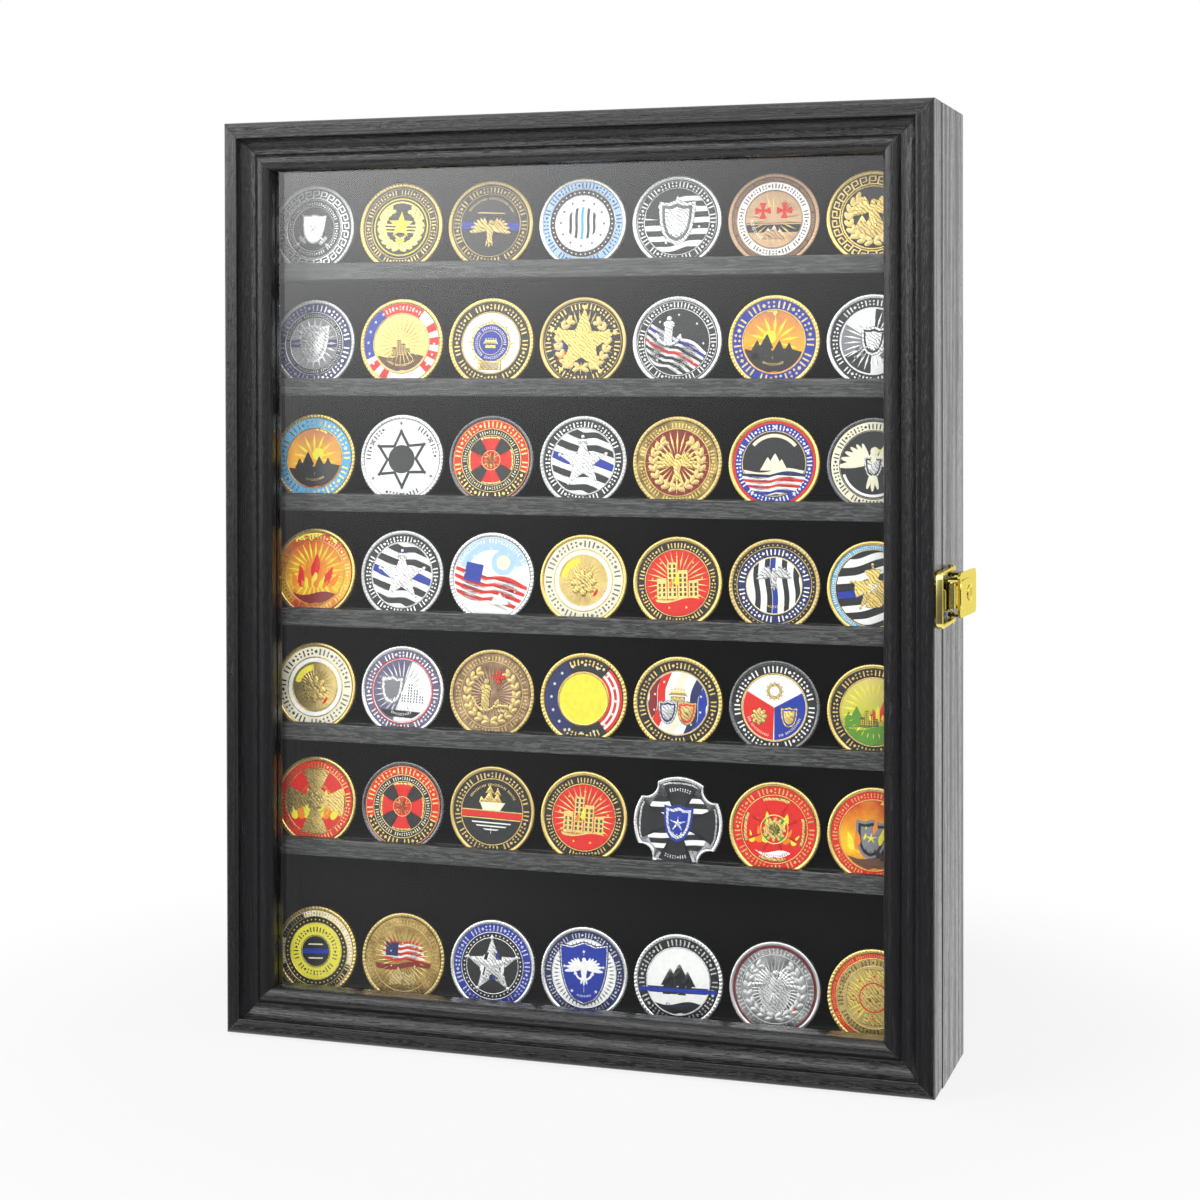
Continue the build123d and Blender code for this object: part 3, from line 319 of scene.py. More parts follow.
def blackWood(name, along, look=woodLook, lips=False):
    material, tree, shader = startMaterial(name, 0.4)
    place = coordinates(tree)

    def stretched(width, length, shift):
        scale = [1 / width] * 3
        scale["XYZ".index(along)] = 1 / length
        return scaled(tree, place, scale, (shift, 1.7 * shift, 0.6 * shift))

    turnsPerUnit = 0.314 / look["ringWidth"]
    growth = put(tree, "TexWave", {"wave_type": "RINGS", "rings_direction": along},
                 Vector=stretched(1 / turnsPerUnit, 16 / turnsPerUnit, 9.0), Scale=1.0, Distortion=4.5,
                 Detail=2.0, **{"Detail Scale": 0.9, "Detail Roughness": 0.6}).outputs["Fac"]
    early = fade(tree, growth, *look["ringEdge"], look["ringPores"])
    pores = noise(tree, stretched(*look["pore"], 3.0), 1.0, 1.0)
    pits = times(tree, fade(tree, pores, *look["poreEdge"]), early)
    flecks = fade(tree, noise(tree, stretched(*look["fleck"], 7.0), 1.0, 2.0, 0.6), *look["fleckEdge"])
    streaks = noise(tree, stretched(*look["streak"], 5.0), 1.0, 3.0, 0.6)
    ridges = fade(tree, streaks, *look["ridgeEdge"])
    worn, black = look["worn"], look["black"]
    x, y, z = parted(tree, place)
    if lips:                           # the face at the shelf's front edge gets painted light: a much paler fibre colour and a lifted black
        # this marks that front face, where the painted light goes
        front = fade(tree, y, look["shelfFront"], look["shelfFront"] + 0.0006, 1.0, 0.0)
        worn = mixColour(tree, front, worn, look["lip"])
        ridges = larger(tree, ridges, times(tree, flecks, look["lipFlecks"]))
        black = mixColour(tree, front, black, look["lipBlackPaintedLight"])
    # faces turned sideways get more of the pale fibre colour: wear, plus a painted sheen standing in for the grazing
    # light on the outer sides
    sideways = calc(tree, "ABSOLUTE", parted(tree, coordinates(tree, "Normal"))[0])
    outer = fade(tree, sideways, 0.7, 0.95)
    wearAndSideSheen = fade(tree, outer, 0.0, 1.0, look["sideWornAndSheen" if lips else "frontWorn"], look["sideWornAndSheen"])
    colour = mixColour(tree, times(tree, ridges, wearAndSideSheen), black, worn)
    colour = mixColour(tree, times(tree, pits, look["pitShade"]), colour, look["pit"])
    wide, long, rougher = look["side"]
    bands = noise(tree, stretched(wide, long, 1.0), 1.0, 3.0, 0.7)
    bands = fade(tree, bands, *look["bandEdge"], 0.0, rougher)
    # the linings inside the case are rubbed dull
    halfWide, innerFront, middle, halfHigh = look["inner"]
    inner = times(tree, calc(tree, "LESS_THAN", calc(tree, "ABSOLUTE", x), halfWide),
                  calc(tree, "GREATER_THAN", y, innerFront),
                  calc(tree, "LESS_THAN", calc(tree, "ABSOLUTE", minus(tree, z, middle)), halfHigh))
    rough = plus(tree, fade(tree, streaks, 0.30, 0.70, look["gloss"][1], look["gloss"][0]),
                 times(tree, pits, look["pitRougher"]), times(tree, inner, look["innerRougher"]),
                 times(tree, bands, outer))
    streaked = times(tree, streaks, fade(tree, outer, 0.0, 1.0, look["frontRelief"], look["sideRelief"]))
    height = minus(tree, plus(tree, streaked, times(tree, growth, look["ringRelief"])),
                   larger(tree, pits, times(tree, flecks, look["fleckRelief"])))
    normal = bump(tree, height, look["relief"])
    softened = put(tree, "Bevel", {"samples": 6}, Radius=look["arris"]).outputs[0]
    fill(tree, normal.node.inputs["Normal"], softened)
    dress(tree, shader, colour, normal, rough)
    return material


# the other finishes of the cabinet

finishLook = {
    "felt": (0.006, 0.006, 0.007), "feltFibre": (0.009, 0.009, 0.010),
    "board": (0.060, 0.055, 0.050), "boardChip": (0.115, 0.105, 0.092), "boardStain": (0.030, 0.027, 0.025),
    "steel": ((0.50, 0.50, 0.52), (0.40, 0.40, 0.43), 0.30, 0.12),     # bright, tarnished, roughness, scratches
    "brass": ((0.83, 0.73, 0.24), (0.62, 0.44, 0.10), 0.10, 0.04, (0.74, 0.67, 0.34)),   # and the tint at its rims
    "rubber": (0.055, 0.055, 0.058), "rubberGrit": (0.03, 0.03, 0.032),
    "glassIndex": 1.5, "glassTint": (0.990, 0.996, 0.993), "glassSmear": (0.94, 0.94, 0.95),
}


def feltFinish(look):
    material, tree, shader = startMaterial("blackFelt", 0.95)
    place = coordinates(tree)
    fibre = noise(tree, place, 2600.0, 2.0, 0.5, 0.8)
    cloud = noise(tree, place, 60.0, 2.0)
    colour = mixColour(tree, fibre, look["felt"], look["feltFibre"])
    dress(tree, shader, mixColour(tree, times(tree, cloud, 0.4), colour, look["felt"]))
    shader.inputs["Sheen Weight"].default_value = 0.04
    shader.inputs["Specular IOR Level"].default_value = 0.10
    return material


def boardFinish(look):
    # pressed fibreboard: short pale fibres in a dark stained sheet
    material, tree, shader = startMaterial("stainedBoard", 0.72)
    place = coordinates(tree)
    chips = noise(tree, scaled(tree, place, (420, 420, 420)), 1.0, 4.0, 0.7, 2.0)
    cloud = noise(tree, place, 22.0, 3.0)
    colour = mixColour(tree, fade(tree, chips, 0.55, 0.75), look["board"], look["boardChip"])
    colour = mixColour(tree, fade(tree, cloud, 0.3, 0.7, 0.0, 0.35), colour, look["boardStain"])
    dress(tree, shader, colour, bump(tree, chips, 0.00012))
    return material


def metalFinish(name, colour, dark, rough, scratch, rimTint=white):
    # polished metal: soft clouds of tarnish, fine scratches in the gloss
    material, tree, shader = startMaterial(name, rough, 1.0)
    shader.inputs["Specular Tint"].default_value = (*rimTint, 1)
    place = coordinates(tree)
    cloud = noise(tree, place, 180.0, 3.0, 0.6)
    lines = noise(tree, scaled(tree, place, (900, 900, 5200)), 1.0, 2.0)
    gloss = plus(tree, fade(tree, cloud, 0.35, 0.75, rough * 0.75, rough * 1.35), times(tree, lines, scratch))
    dress(tree, shader, mixColour(tree, fade(tree, cloud, 0.5, 0.85, 0.0, 0.35), colour, dark),
          bump(tree, lines, 0.00002, 0.4), gloss)
    return material


def rubberFinish(look):
    material, tree, shader = startMaterial("bumperRubber", 0.6)
    grit = noise(tree, coordinates(tree), 3000.0, 2.0)
    dress(tree, shader, mixColour(tree, grit, look["rubber"], look["rubberGrit"]), bump(tree, grit, 0.00005))
    return material


def glassFinish(look):
    # clear sheet: what is behind shows through, and the polished face mirrors the room
    material, tree, shader = startMaterial("clearGlass")
    tree.nodes.remove(shader)
    smear = noise(tree, coordinates(tree), 9.0, 3.0)
    tint = mixColour(tree, smear, white, look["glassSmear"])
    mirror = put(tree, "BsdfAnisotropic", Color=tint, Roughness=0.0)
    through = put(tree, "BsdfTransparent", Color=look["glassTint"])
    # the Fresnel node turns the index over on back faces, where the ray leaves the pane: turned over again here
    leaving = put(tree, "NewGeometry").outputs["Backfacing"]
    index = fade(tree, leaving, 0.0, 1.0, look["glassIndex"], 1 / look["glassIndex"])
    showInstead(tree, mixShader(tree, put(tree, "Fresnel", IOR=index).outputs[0], through, mirror))
    return material


finishes = {
    "woodUpright": blackWood("blackWoodUpright", "Z"),
    "woodLevel": blackWood("blackWoodLevel", "X"),
    "woodShelf": blackWood("blackWoodShelf", "X", lips=True),
    "felt": feltFinish(finishLook),
    "board": boardFinish(finishLook),
    "steel": metalFinish("zincSteel", *finishLook["steel"]),
    "brass": metalFinish("polishedBrass", *finishLook["brass"]),
    "rubber": rubberFinish(finishLook),
    "glass": glassFinish(finishLook),
}

nodeFinish = {
    "woodUpright": "side_board_left side_board_right door_stile_left door_stile_right "
                   "glazing_bead_left glazing_bead_right",
    "woodShelf": "shelf_1 shelf_2 shelf_3 shelf_4 shelf_5 shelf_6 shelf_7",
    "woodLevel": "top_board bottom_board hanging_rail door_rail_top door_rail_bottom "
                 "glazing_bead_top glazing_bead_bottom carcass_brads door_corner_brads",
    "felt": "felt_lining",
    "board": "back_panel",
    "glass": "glass_pane",
    "rubber": "door_bumpers",
    "steel": "hanger_plate_left hanger_plate_right hanger_screws glazing_brads",
    "brass": "hinge_upper_cabinet_leaf hinge_lower_cabinet_leaf hinge_upper_door_leaf hinge_lower_door_leaf "
             "hinge_pin_upper hinge_pin_lower hinge_screws_cabinet hinge_screws_door latch_keeper keeper_screws "
             "latch_base latch_base_screws lever_pin latch_lever loop_rivets latch_loop lock_plug lock_cam",
}
for finishName, nodeNames in nodeFinish.items():
    for nodeName in nodeNames.split():
        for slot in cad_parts[nodeName].material_slots:
            slot.material = finishes[finishName]
print("cabinet finished")


def putPiece(name, points, faces, material, body, slotName):
    # points in mm, in the cabinet's own frame
    mesh = bpy.data.meshes.new(name)
    mesh.from_pydata(np.asarray(points) / 1000, [], faces)
    mesh.polygons.foreach_set("use_smooth", np.full(len(faces), True))
    mesh.materials.append(material)
    mesh.update()
    piece = placeObject(name, mesh)
    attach(piece, body)
    return piece


# coins: low relief in metal and coloured enamel

coinLook = {
    "radius": 21.5, "thick": 3.0,     # mm, as the coins in the grooves
    "floor": 1.05, "top": 1.50,       # height of the field and of the rim above the coin's middle
    "foot": 0.05,                     # how far each form reaches down into the field
    "lean": 6.0,                      # degrees
    "sway": 3.0,                      # degrees that a coin is turned at most
    "metallic": 0.8,                  # a little of the matt film that handling leaves
    "enamelGloss": 0.28,
    "reeds": 96,
    "chaseScale": 300.0, "chaseCurl": 7.0,
    "chaseDark": 0.28,                # what is left of the brightness in a chased line
    "climb": 0.03, "headroom": 0.06,  # how much higher each step lies, and how far they stay under the rim
    "low": 0.02, "small": 0.10, "leaf": 0.16,        # height of flat forms, of small marks and of leaves
    "clear": 0.1,                     # half the gap between two stripes
}
coinMetals = {                        # bright, patina, roughness
    "gold": ((0.82, 0.61, 0.21), (0.24, 0.13, 0.03), 0.30),
    "oldGold": ((0.66, 0.50, 0.20), (0.10, 0.06, 0.015), 0.34),
    "silver": ((0.79, 0.79, 0.79), (0.18, 0.18, 0.20), 0.28),
    "oldSilver": ((0.64, 0.64, 0.64), (0.07, 0.07, 0.08), 0.36),
    "bronze": ((0.54, 0.36, 0.23), (0.10, 0.055, 0.035), 0.36),
    "nickel": ((0.16, 0.16, 0.17), (0.05, 0.05, 0.05), 0.26),
}
coinEnamels = {
    "black": (0.008, 0.008, 0.010), "white": (0.95, 0.95, 0.94), "cream": (0.90, 0.85, 0.66),
    "red": (0.72, 0.02, 0.015), "darkRed": (0.22, 0.012, 0.014), "blue": (0.010, 0.035, 0.34),
    "navy": (0.010, 0.018, 0.10), "sky": (0.10, 0.42, 0.75), "pale": (0.46, 0.66, 0.84),
    "yellow": (0.86, 0.78, 0.06), "orange": (0.85, 0.25, 0.02), "green": (0.10, 0.28, 0.03),
    "grey": (0.22, 0.22, 0.24), "brown": (0.12, 0.055, 0.03), "purple": (0.13, 0.11, 0.20),
}
coinShades = {                        # enamel that changes from the bottom of the coin to its top
    "sunset": [(-0.6, (0.85, 0.12, 0.02)), (-0.1, (0.95, 0.45, 0.03)), (0.2, (0.95, 0.80, 0.25)),
               (0.7, (0.55, 0.20, 0.10))],
    "flame": [(-0.8, (0.55, 0.02, 0.01)), (-0.3, (0.95, 0.55, 0.02)), (0.1, (0.95, 0.80, 0.10)),
              (0.8, (0.60, 0.03, 0.01))],
    "meadow": [(-0.8, (0.10, 0.16, 0.02)), (-0.1, (0.55, 0.55, 0.06)), (0.4, (0.90, 0.80, 0.10)),
               (0.8, (0.75, 0.60, 0.20))],
}


def named(kind, name):
    return kind + name[0].upper() + name[1:]


def coinMetal(name, colour, dark, rough):
    # stamped metal: dark patina in the low ground, rubbed bright on high places
    material, tree, shader = startMaterial(named("coin", name), rough, coinLook["metallic"])
    place = coordinates(tree)
    grain = noise(tree, place, 1500.0, 3.0, 0.6)
    cloud = noise(tree, place, 160.0, 2.0)
    worn = plus(tree, attribute(tree, "rise"), times(tree, minus(tree, cloud, 0.5), 0.8))
    # the emblems are chased: fine curling lines with patina in them
    curl = {"Scale": coinLook["chaseScale"], "Distortion": coinLook["chaseCurl"], "Detail": 2.0,
            "Detail Scale": 1.0}
    lines = put(tree, "TexWave", {"wave_type": "BANDS", "bands_direction": "DIAGONAL"}, Vector=place,
                **curl).outputs["Fac"]
    cutIn = times(tree, fade(tree, lines, 0.70, 0.95), attribute(tree, "chased"))
    bright = times(tree, fade(tree, worn, -0.1, 0.75), fade(tree, cutIn, 0.0, 1.0, 1.0, coinLook["chaseDark"]))
    dress(tree, shader, mixColour(tree, bright, dark, colour),
          bump(tree, minus(tree, times(tree, grain, 0.2), cutIn), 0.00006),
          fade(tree, grain, 0.3, 0.8, rough * 0.8, rough * 1.3))
    return material


def coinEnamel(name, colour):
    # glossy coloured enamel with slight pooling
    material, tree, shader = startMaterial(named("enamel", name), coinLook["enamelGloss"])
    pool = noise(tree, coordinates(tree), 420.0, 2.0)
    deep = tuple(0.80 * c for c in colour)
    dress(tree, shader, mixColour(tree, fade(tree, pool, 0.35, 0.8, 0.0, 0.5), colour, deep),
          bump(tree, pool, 0.00004))
    return material


def coinShade(name, stops):
    material, tree, shader = startMaterial(named("enamel", name), coinLook["enamelGloss"])
    across, up, number = parted(tree, attribute(tree, "spot", "Vector"))
    cloud = noise(tree, coordinates(tree), 140.0, 4.0, 0.65)
    height = plus(tree, up, times(tree, minus(tree, cloud, 0.5), 1.1))
    ramp = put(tree, "ValToRGB")
    steps = ramp.color_ramp.elements
    steps.remove(steps[0])
    for k, (at, colour) in enumerate(stops):
        stop = steps[0] if k == 0 else steps.new(0.5)
        stop.position = (at + 1) / 2
        stop.color = (*colour, 1)
    fill(tree, ramp.inputs[0], calc(tree, "MULTIPLY_ADD", height, 0.5, 0.5))
    dress(tree, shader, ramp.outputs[0], bump(tree, cloud, 0.00005))
    return material


coinColours = [*coinMetals, *coinEnamels, *coinShades]
coinMaterials = [coinMetal(name, *values) for name, values in coinMetals.items()]
coinMaterials += [coinEnamel(name, colour) for name, colour in coinEnamels.items()]
coinMaterials += [coinShade(name, stops) for name, stops in coinShades.items()]


def ringStack(grid, closed=False):
    # rows of rings joined to a skin: triangles between neighbours on two rows, round the ring.
    # An open stack gets a fan to the middle of its first and its last ring.
    rows, columns = grid.shape[:2]
    index = np.arange(rows * columns).reshape(rows, columns)
    if closed:
        index = np.concatenate([index, index[:1]])
    after = np.roll(index, -1, axis=1)
    low, lowNext, top, topNext = index[:-1], after[:-1], index[1:], after[1:]
    faces = [np.stack([low, lowNext, topNext], -1), np.stack([low, topNext, top], -1)]
    points = grid.reshape(-1, 3)
    if not closed:
        first, last = np.full(columns, rows * columns), np.full(columns, rows * columns + 1)
        faces.append(np.stack([after[0], index[0], first], -1))
        faces.append(np.stack([index[-1], after[-1], last], -1))
        points = np.concatenate([points, [grid[0].mean(0), grid[-1].mean(0)]])
    return points, np.concatenate([f.reshape(-1, 3) for f in faces])


def around(count):
    # equal turns of a full circle
    return np.arange(count) * (2 * np.pi / count)


def onCircle(turns):
    # points (cos t, sin t)
    return np.stack([np.cos(turns), np.sin(turns)], -1)


def spun(profile, angles, shape=1.0):
    # lathe: each profile point (radius, height) runs once round the axis
    radius = profile[:, 0][:, None] * np.broadcast_to(shape, angles.shape)
    high = np.broadcast_to(profile[:, 1][:, None], radius.shape)
    return np.stack([radius * np.cos(angles), radius * np.sin(angles), high], -1)


innerCorners = {4: 0.28, 5: 0.42, 6: 0.55, 8: 0.45}       # of stars, by their number of points
cornerOutlines = {
    "ray": [[1.0, 0.0], [0.0, 0.16], [-1.0, 0.0], [0.0, -0.16]],
    "diamond": [[1.0, 0.0], [0.0, 0.7], [-1.0, 0.0], [0.0, -0.7]],
    "bar": [[0.36, -1.0], [0.36, 1.0], [-0.36, 1.0], [-0.36, -1.0]],
    "square": [[1.0, -1.0], [1.0, 1.0], [-1.0, 1.0], [-1.0, -1.0]],
    "peak": [[1.0, -0.7], [0.12, 0.9], [0.0, 1.0], [-0.12, 0.9], [-1.0, -0.7]],
    "chevron": [[1.0, -0.5], [0.0, 0.5], [-1.0, -0.5], [-0.7, -0.62], [0.0, -0.1], [0.7, -0.62]],
    "hull": [[1.0, 0.3], [-1.0, 0.3], [-0.72, -0.3], [0.62, -0.3]],
}
crossArm = [[0.17, -0.17], [0.45, -0.19], [0.75, -0.30], [0.94, -0.46], [1.0, -0.30], [1.02, 0.0],
            [1.0, 0.30], [0.94, 0.46], [0.75, 0.30], [0.45, 0.19]]


def outlineOf(kind):
    # closed outlines of size 1, anticlockwise, each seen whole from its middle
    count = 5
    if kind[-1].isdigit():    # a digit is the number of a star's points
        kind, count = kind[:-1], int(kind[-1])
    if kind == "circle":
        return onCircle(around(48))
    if kind == "star":        # points at 1, inner corners nearer
        reach = np.where(np.arange(2 * count) % 2 == 0, 1.0, innerCorners[count])
        return reach[:, None] * onCircle(around(2 * count) + np.pi / 2)
    if kind == "shield":      # flat top, sides that close on a point
        drop = np.linspace(0, 1, 14)
        side = 0.82 * np.sqrt(np.clip(1 - drop ** 2.6, 0, 1))
        left = np.stack([-side, 0.92 - 1.92 * drop], -1)
        top = np.array([[0.42, 0.86], [0.0, 1.0], [-0.42, 0.86]])
        return np.concatenate([top, left, (left * (-1, 1))[::-1][1:]])
    if kind == "cross":       # four arms that widen outwards
        c, s = onCircle(around(4)).T
        spin = np.stack([np.stack([c, -s], -1), np.stack([s, c], -1)], 1)
        return np.einsum("kij,nj->kni", spin, np.array(crossArm)).reshape(-1, 2)
    if kind == "leaf":        # lens along X
        upper = onCircle(np.linspace(0, np.pi, 7)) * (1, 0.34)
        return np.concatenate([upper, -upper[1:-1]])
    if kind == "flame":       # drop with a tip that leans over
        x, y = onCircle(around(16) + np.pi / 2).T
        return np.stack([0.55 * x * (0.62 - 0.38 * y) + 0.12 * np.sin(2.2 * y), y], -1)
    if kind == "bead":
        return 0.6 * onCircle(around(8))
    return np.array(cornerOutlines[kind])


def discPart(low, high, radius, bend=0.0):
    # part of a disc between two heights; with a bend its edges follow one wave
    across = np.linspace(-1, 1, 17)

    def edge(level):
        half = math.sqrt(max(radius ** 2 - min(abs(level), radius) ** 2, 0.01))
        x = across * half
        return np.stack([x, level + bend * np.sin(x / radius * 2.6) * (1 - across ** 2)], -1)

    start, end = (math.asin(max(-1, min(1, level / radius))) for level in (low, high))
    side = radius * onCircle(np.linspace(start, end, 9)[1:-1])
    return np.concatenate([edge(low), side, edge(high)[::-1], (side * (-1, 1))[::-1]])


def sector(start, end, outer, inner=0.0):
    # part of a disc, or of a ring, between two turns
    outside = outer * onCircle(np.linspace(start, end, 18))
    inside = (outside * inner / outer)[::-1] if inner > 0 else [[0.0, 0.0]]
    return np.concatenate([outside, inside])


def rowsOf(text):
    # words and numbers of each step; the steps are parted by semicolons
    return [[float(word) if word.lstrip("-").replace(".", "", 1).isdigit() else word for word in step.split()]
            for step in text.split(";")]


def feathers(side):
    # a wing: leaves fanned upwards from the shoulder, the highest shortest
    rows = []
    for k in range(6):
        lift, half = math.radians(-8 + 15 * k), 0.5 * (1.0 - 0.07 * k)
        turn = math.degrees(lift) if side > 0 else 180 - math.degrees(lift)
        rows.append(("leaf", half, side * (0.12 + half * math.cos(lift)), 0.06 + half * math.sin(lift), turn, 0,
                     "ridge", 0.62))
    return rows


def ringOf(turns, reach, y, tilt, shape, size, *rest):
    # the same shape set round a middle, each turned outwards and tilted; with no tilt it stays upright
    return [(shape, size, reach * math.cos(t), y + reach * math.sin(t), 0 if tilt is None else math.degrees(t) + tilt,
             *rest) for t in turns]


# each row of a motif: shape, size, x, y, turn, number of the colour, style, width beside its length
motifs = {
    "eagle": feathers(-1) + feathers(1) + rowsOf(
        "leaf 0.3 -0.1 -0.48 -105 0 ridge 0.6; leaf 0.3 0.1 -0.48 -75 0 ridge 0.6; leaf 0.34 0 -0.5 90 0 ridge 0.6;"
        "leaf 0.44 0 0 90 0 ridge 1.2; bead 0.24 0.03 0.42 0 0 dome 1; ray 0.14 0.18 0.44 -10 1 ridge 2.2"),
    "flames": [("flame", 0.62 - 0.1 * abs(k), 0.27 * k, 0.02 - 0.12 * abs(k), -9 * k, k % 2, "ridge", 1.0)
               for k in (-3, 3, -2, 2, -1, 1, 0)] + rowsOf("flame 0.30 0.03 -0.26 0 1 ridge 1"),
    "towers": [("square", 0.19, x, 0.5 * h - 0.7, 0, 0, "flat", h / 0.38)
               for x, h in ((-0.62, 0.8), (-0.2, 1.4), (0.22, 1.1), (0.64, 0.7))]
              + [("square", 0.045, x + dx, y, 0, 1, "flat", 1.4)
                 for x, top in ((-0.62, 0.0), (-0.2, 0.6), (0.22, 0.3), (0.64, -0.1))
                 for dx in (-0.09, 0.09) for y in (-0.52, -0.34, -0.16, 0.02, 0.20, 0.38, 0.56) if y < top],
    "swords": rowsOf(
        "ray 1 0 0 45 0 ridge 0.55; ray 1 0 0 135 0 ridge 0.55; bar 0.22 -0.5 -0.5 45 1 flat 1;"
        "bar 0.22 0.5 -0.5 -45 1 flat 1; bead 0.14 -0.7 -0.7 0 1 dome 1; bead 0.14 0.7 -0.7 0 1 dome 1"),
    "anchor": rowsOf(
        "bar 0.62 0 -0.02 0 0 ridge 1; bar 0.3 0 0.42 90 0 ridge 1; bead 0.26 0 0.74 0 0 dome 1;"
        "bead 0.12 0 0.74 0 1 flat 1")
              + ringOf(np.radians(np.linspace(205, 335, 8)), 0.66, -0.05, 90, "leaf", 0.22, 0, "ridge", 1.2)
              + rowsOf("peak 0.16 -0.66 -0.22 12 0 ridge 1; peak 0.16 0.66 -0.22 -12 0 ridge 1"),
    "peaks": rowsOf(
        "peak 0.5 -0.42 -0.1 0 0 ridge 1; peak 0.44 0.5 -0.16 0 0 ridge 1; peak 0.62 0.06 0.02 0 0 ridge 1;"
        "peak 0.2 0.06 0.45 0 1 ridge 1; peak 0.15 -0.42 0.26 0 1 ridge 1; peak 0.14 0.5 0.15 0 1 ridge 1"),
    "trees": [("peak", size, x, y + step * size * 0.75, 0, 0, "flat", 0.9)
              for x, y, size in ((-0.7, -0.5, 0.26), (-0.3, -0.42, 0.34), (0.24, -0.5, 0.28), (0.66, -0.44, 0.22))
              for step in (0, 1, 1.8)],
    "ship": rowsOf(
        "hull 0.8 0 -0.42 0 0 flat 1; bar 0.62 -0.2 0.2 0 0 flat 0.12; bar 0.56 0.28 0.1 0 0 flat 0.14;"
        "peak 0.36 -0.2 0.1 0 1 ridge 1; peak 0.26 -0.2 0.52 0 1 ridge 1; peak 0.32 0.3 0.02 0 1 ridge 1;"
        "peak 0.22 0.3 0.4 0 1 ridge 1; peak 0.2 -0.68 -0.08 12 1 ridge 1"),
    "rose": ringOf(around(8), 0.58, 0, 0, "leaf", 0.36, 0, "dome", 2.0)
            + ringOf(around(6) + 0.3, 0.30, 0, 0, "leaf", 0.26, 1, "dome", 2.0) + rowsOf("bead 0.24 0 0 0 0 dome 1"),
    "gear": ringOf(around(12), 0.86, 0, 90, "bar", 0.16, 0, "flat", 1.8)
            + rowsOf("circle 0.78 0 0 0 0 flat 1; circle 0.52 0 0 0 1 flat 1"),
    "crown": rowsOf("square 0.5 0 -0.42 0 0 flat 0.28")
             + [("peak", 0.2, 0.22 * k, 0.0, -6 * k, 0, "ridge", 1.7) for k in (-2, -1, 0, 1, 2)]
             + [("bead", 0.12, 0.24 * k, 0.32 - 0.03 * abs(k), 0, 1, "dome", 1) for k in (-2, -1, 0, 1, 2)]
             + [("bead", 0.10, 0.25 * k, -0.42, 0, 1, "dome", 1) for k in (-1, 0, 1)],
    "badge": rowsOf(
        "shield 1 0 0 0 0 flat 1; shield 0.86 0 0 0 1 flat 1; shield 0.74 0 0 0 0 ridge 1;"
        "circle 0.42 0 0.08 0 1 flat 1; star6 0.4 0 0.08 0 0 ridge 1")
             + [("bar", 0.1, 0.22 * k, -0.52, 0, 1, "flat", 1) for k in (-1, 0, 1)],
    "starBadge": rowsOf(
        "star5 1 0 0 0 0 ridge 1; circle 0.44 0 0 0 1 flat 1; circle 0.37 0 0 0 0 flat 1;"
        "circle 0.29 0 0 0 1 flat 1; star8 0.28 0 0 0 0 ridge 1")
                 + ringOf(around(5) + np.pi / 2, 1.0, 0, None, "bead", 0.12, 0, "dome", 1),
    "chevrons": [("chevron", 0.7 - 0.12 * k, 0, -0.2 - 0.32 * k, 180, k % 2, "flat", 1) for k in range(3)],
}
boldMotifs = ("badge", "starBadge", "crown", "anchor", "swords", "gear")     # with a wider dark line round them

plateStyles = {                      # (share of the outline, share of the height) from edge to middle
    "flat": ((1, 0.7), (0.97, 1)),
    "dome": ((1, 0.15), (0.88, 0.58), (0.62, 0.86), (0.3, 1)),
    "ridge": ((1, 0.15), (0.02, 1)),
}
keyStrokes = ((0, -0.95, 0.50, 0.13), (-0.38, 0.0, 0.09, 0.85), (0.0, 0.85, 0.38, 0.13),     # middle and half
              (0.28, 0.28, 0.09, 0.48), (0.04, -0.18, 0.24, 0.12))                           # size, in cells
friezeStrokes = {                    # shape, y, half width and half height of each stroke, in cells
    "Bar": (("square", 0, 0.24, 1.0),), "Lozenge": (("diamond", 0, 0.62, 0.9),), "Gap": (),
    "Dots": (("diamond", 0.58, 0.42, 0.62), ("diamond", -0.58, 0.42, 0.62)),
}
friezeOrder = "Bar Bar Bar Lozenge Dots Dots Bar Dots Dots Lozenge Bar Bar Gap".split()


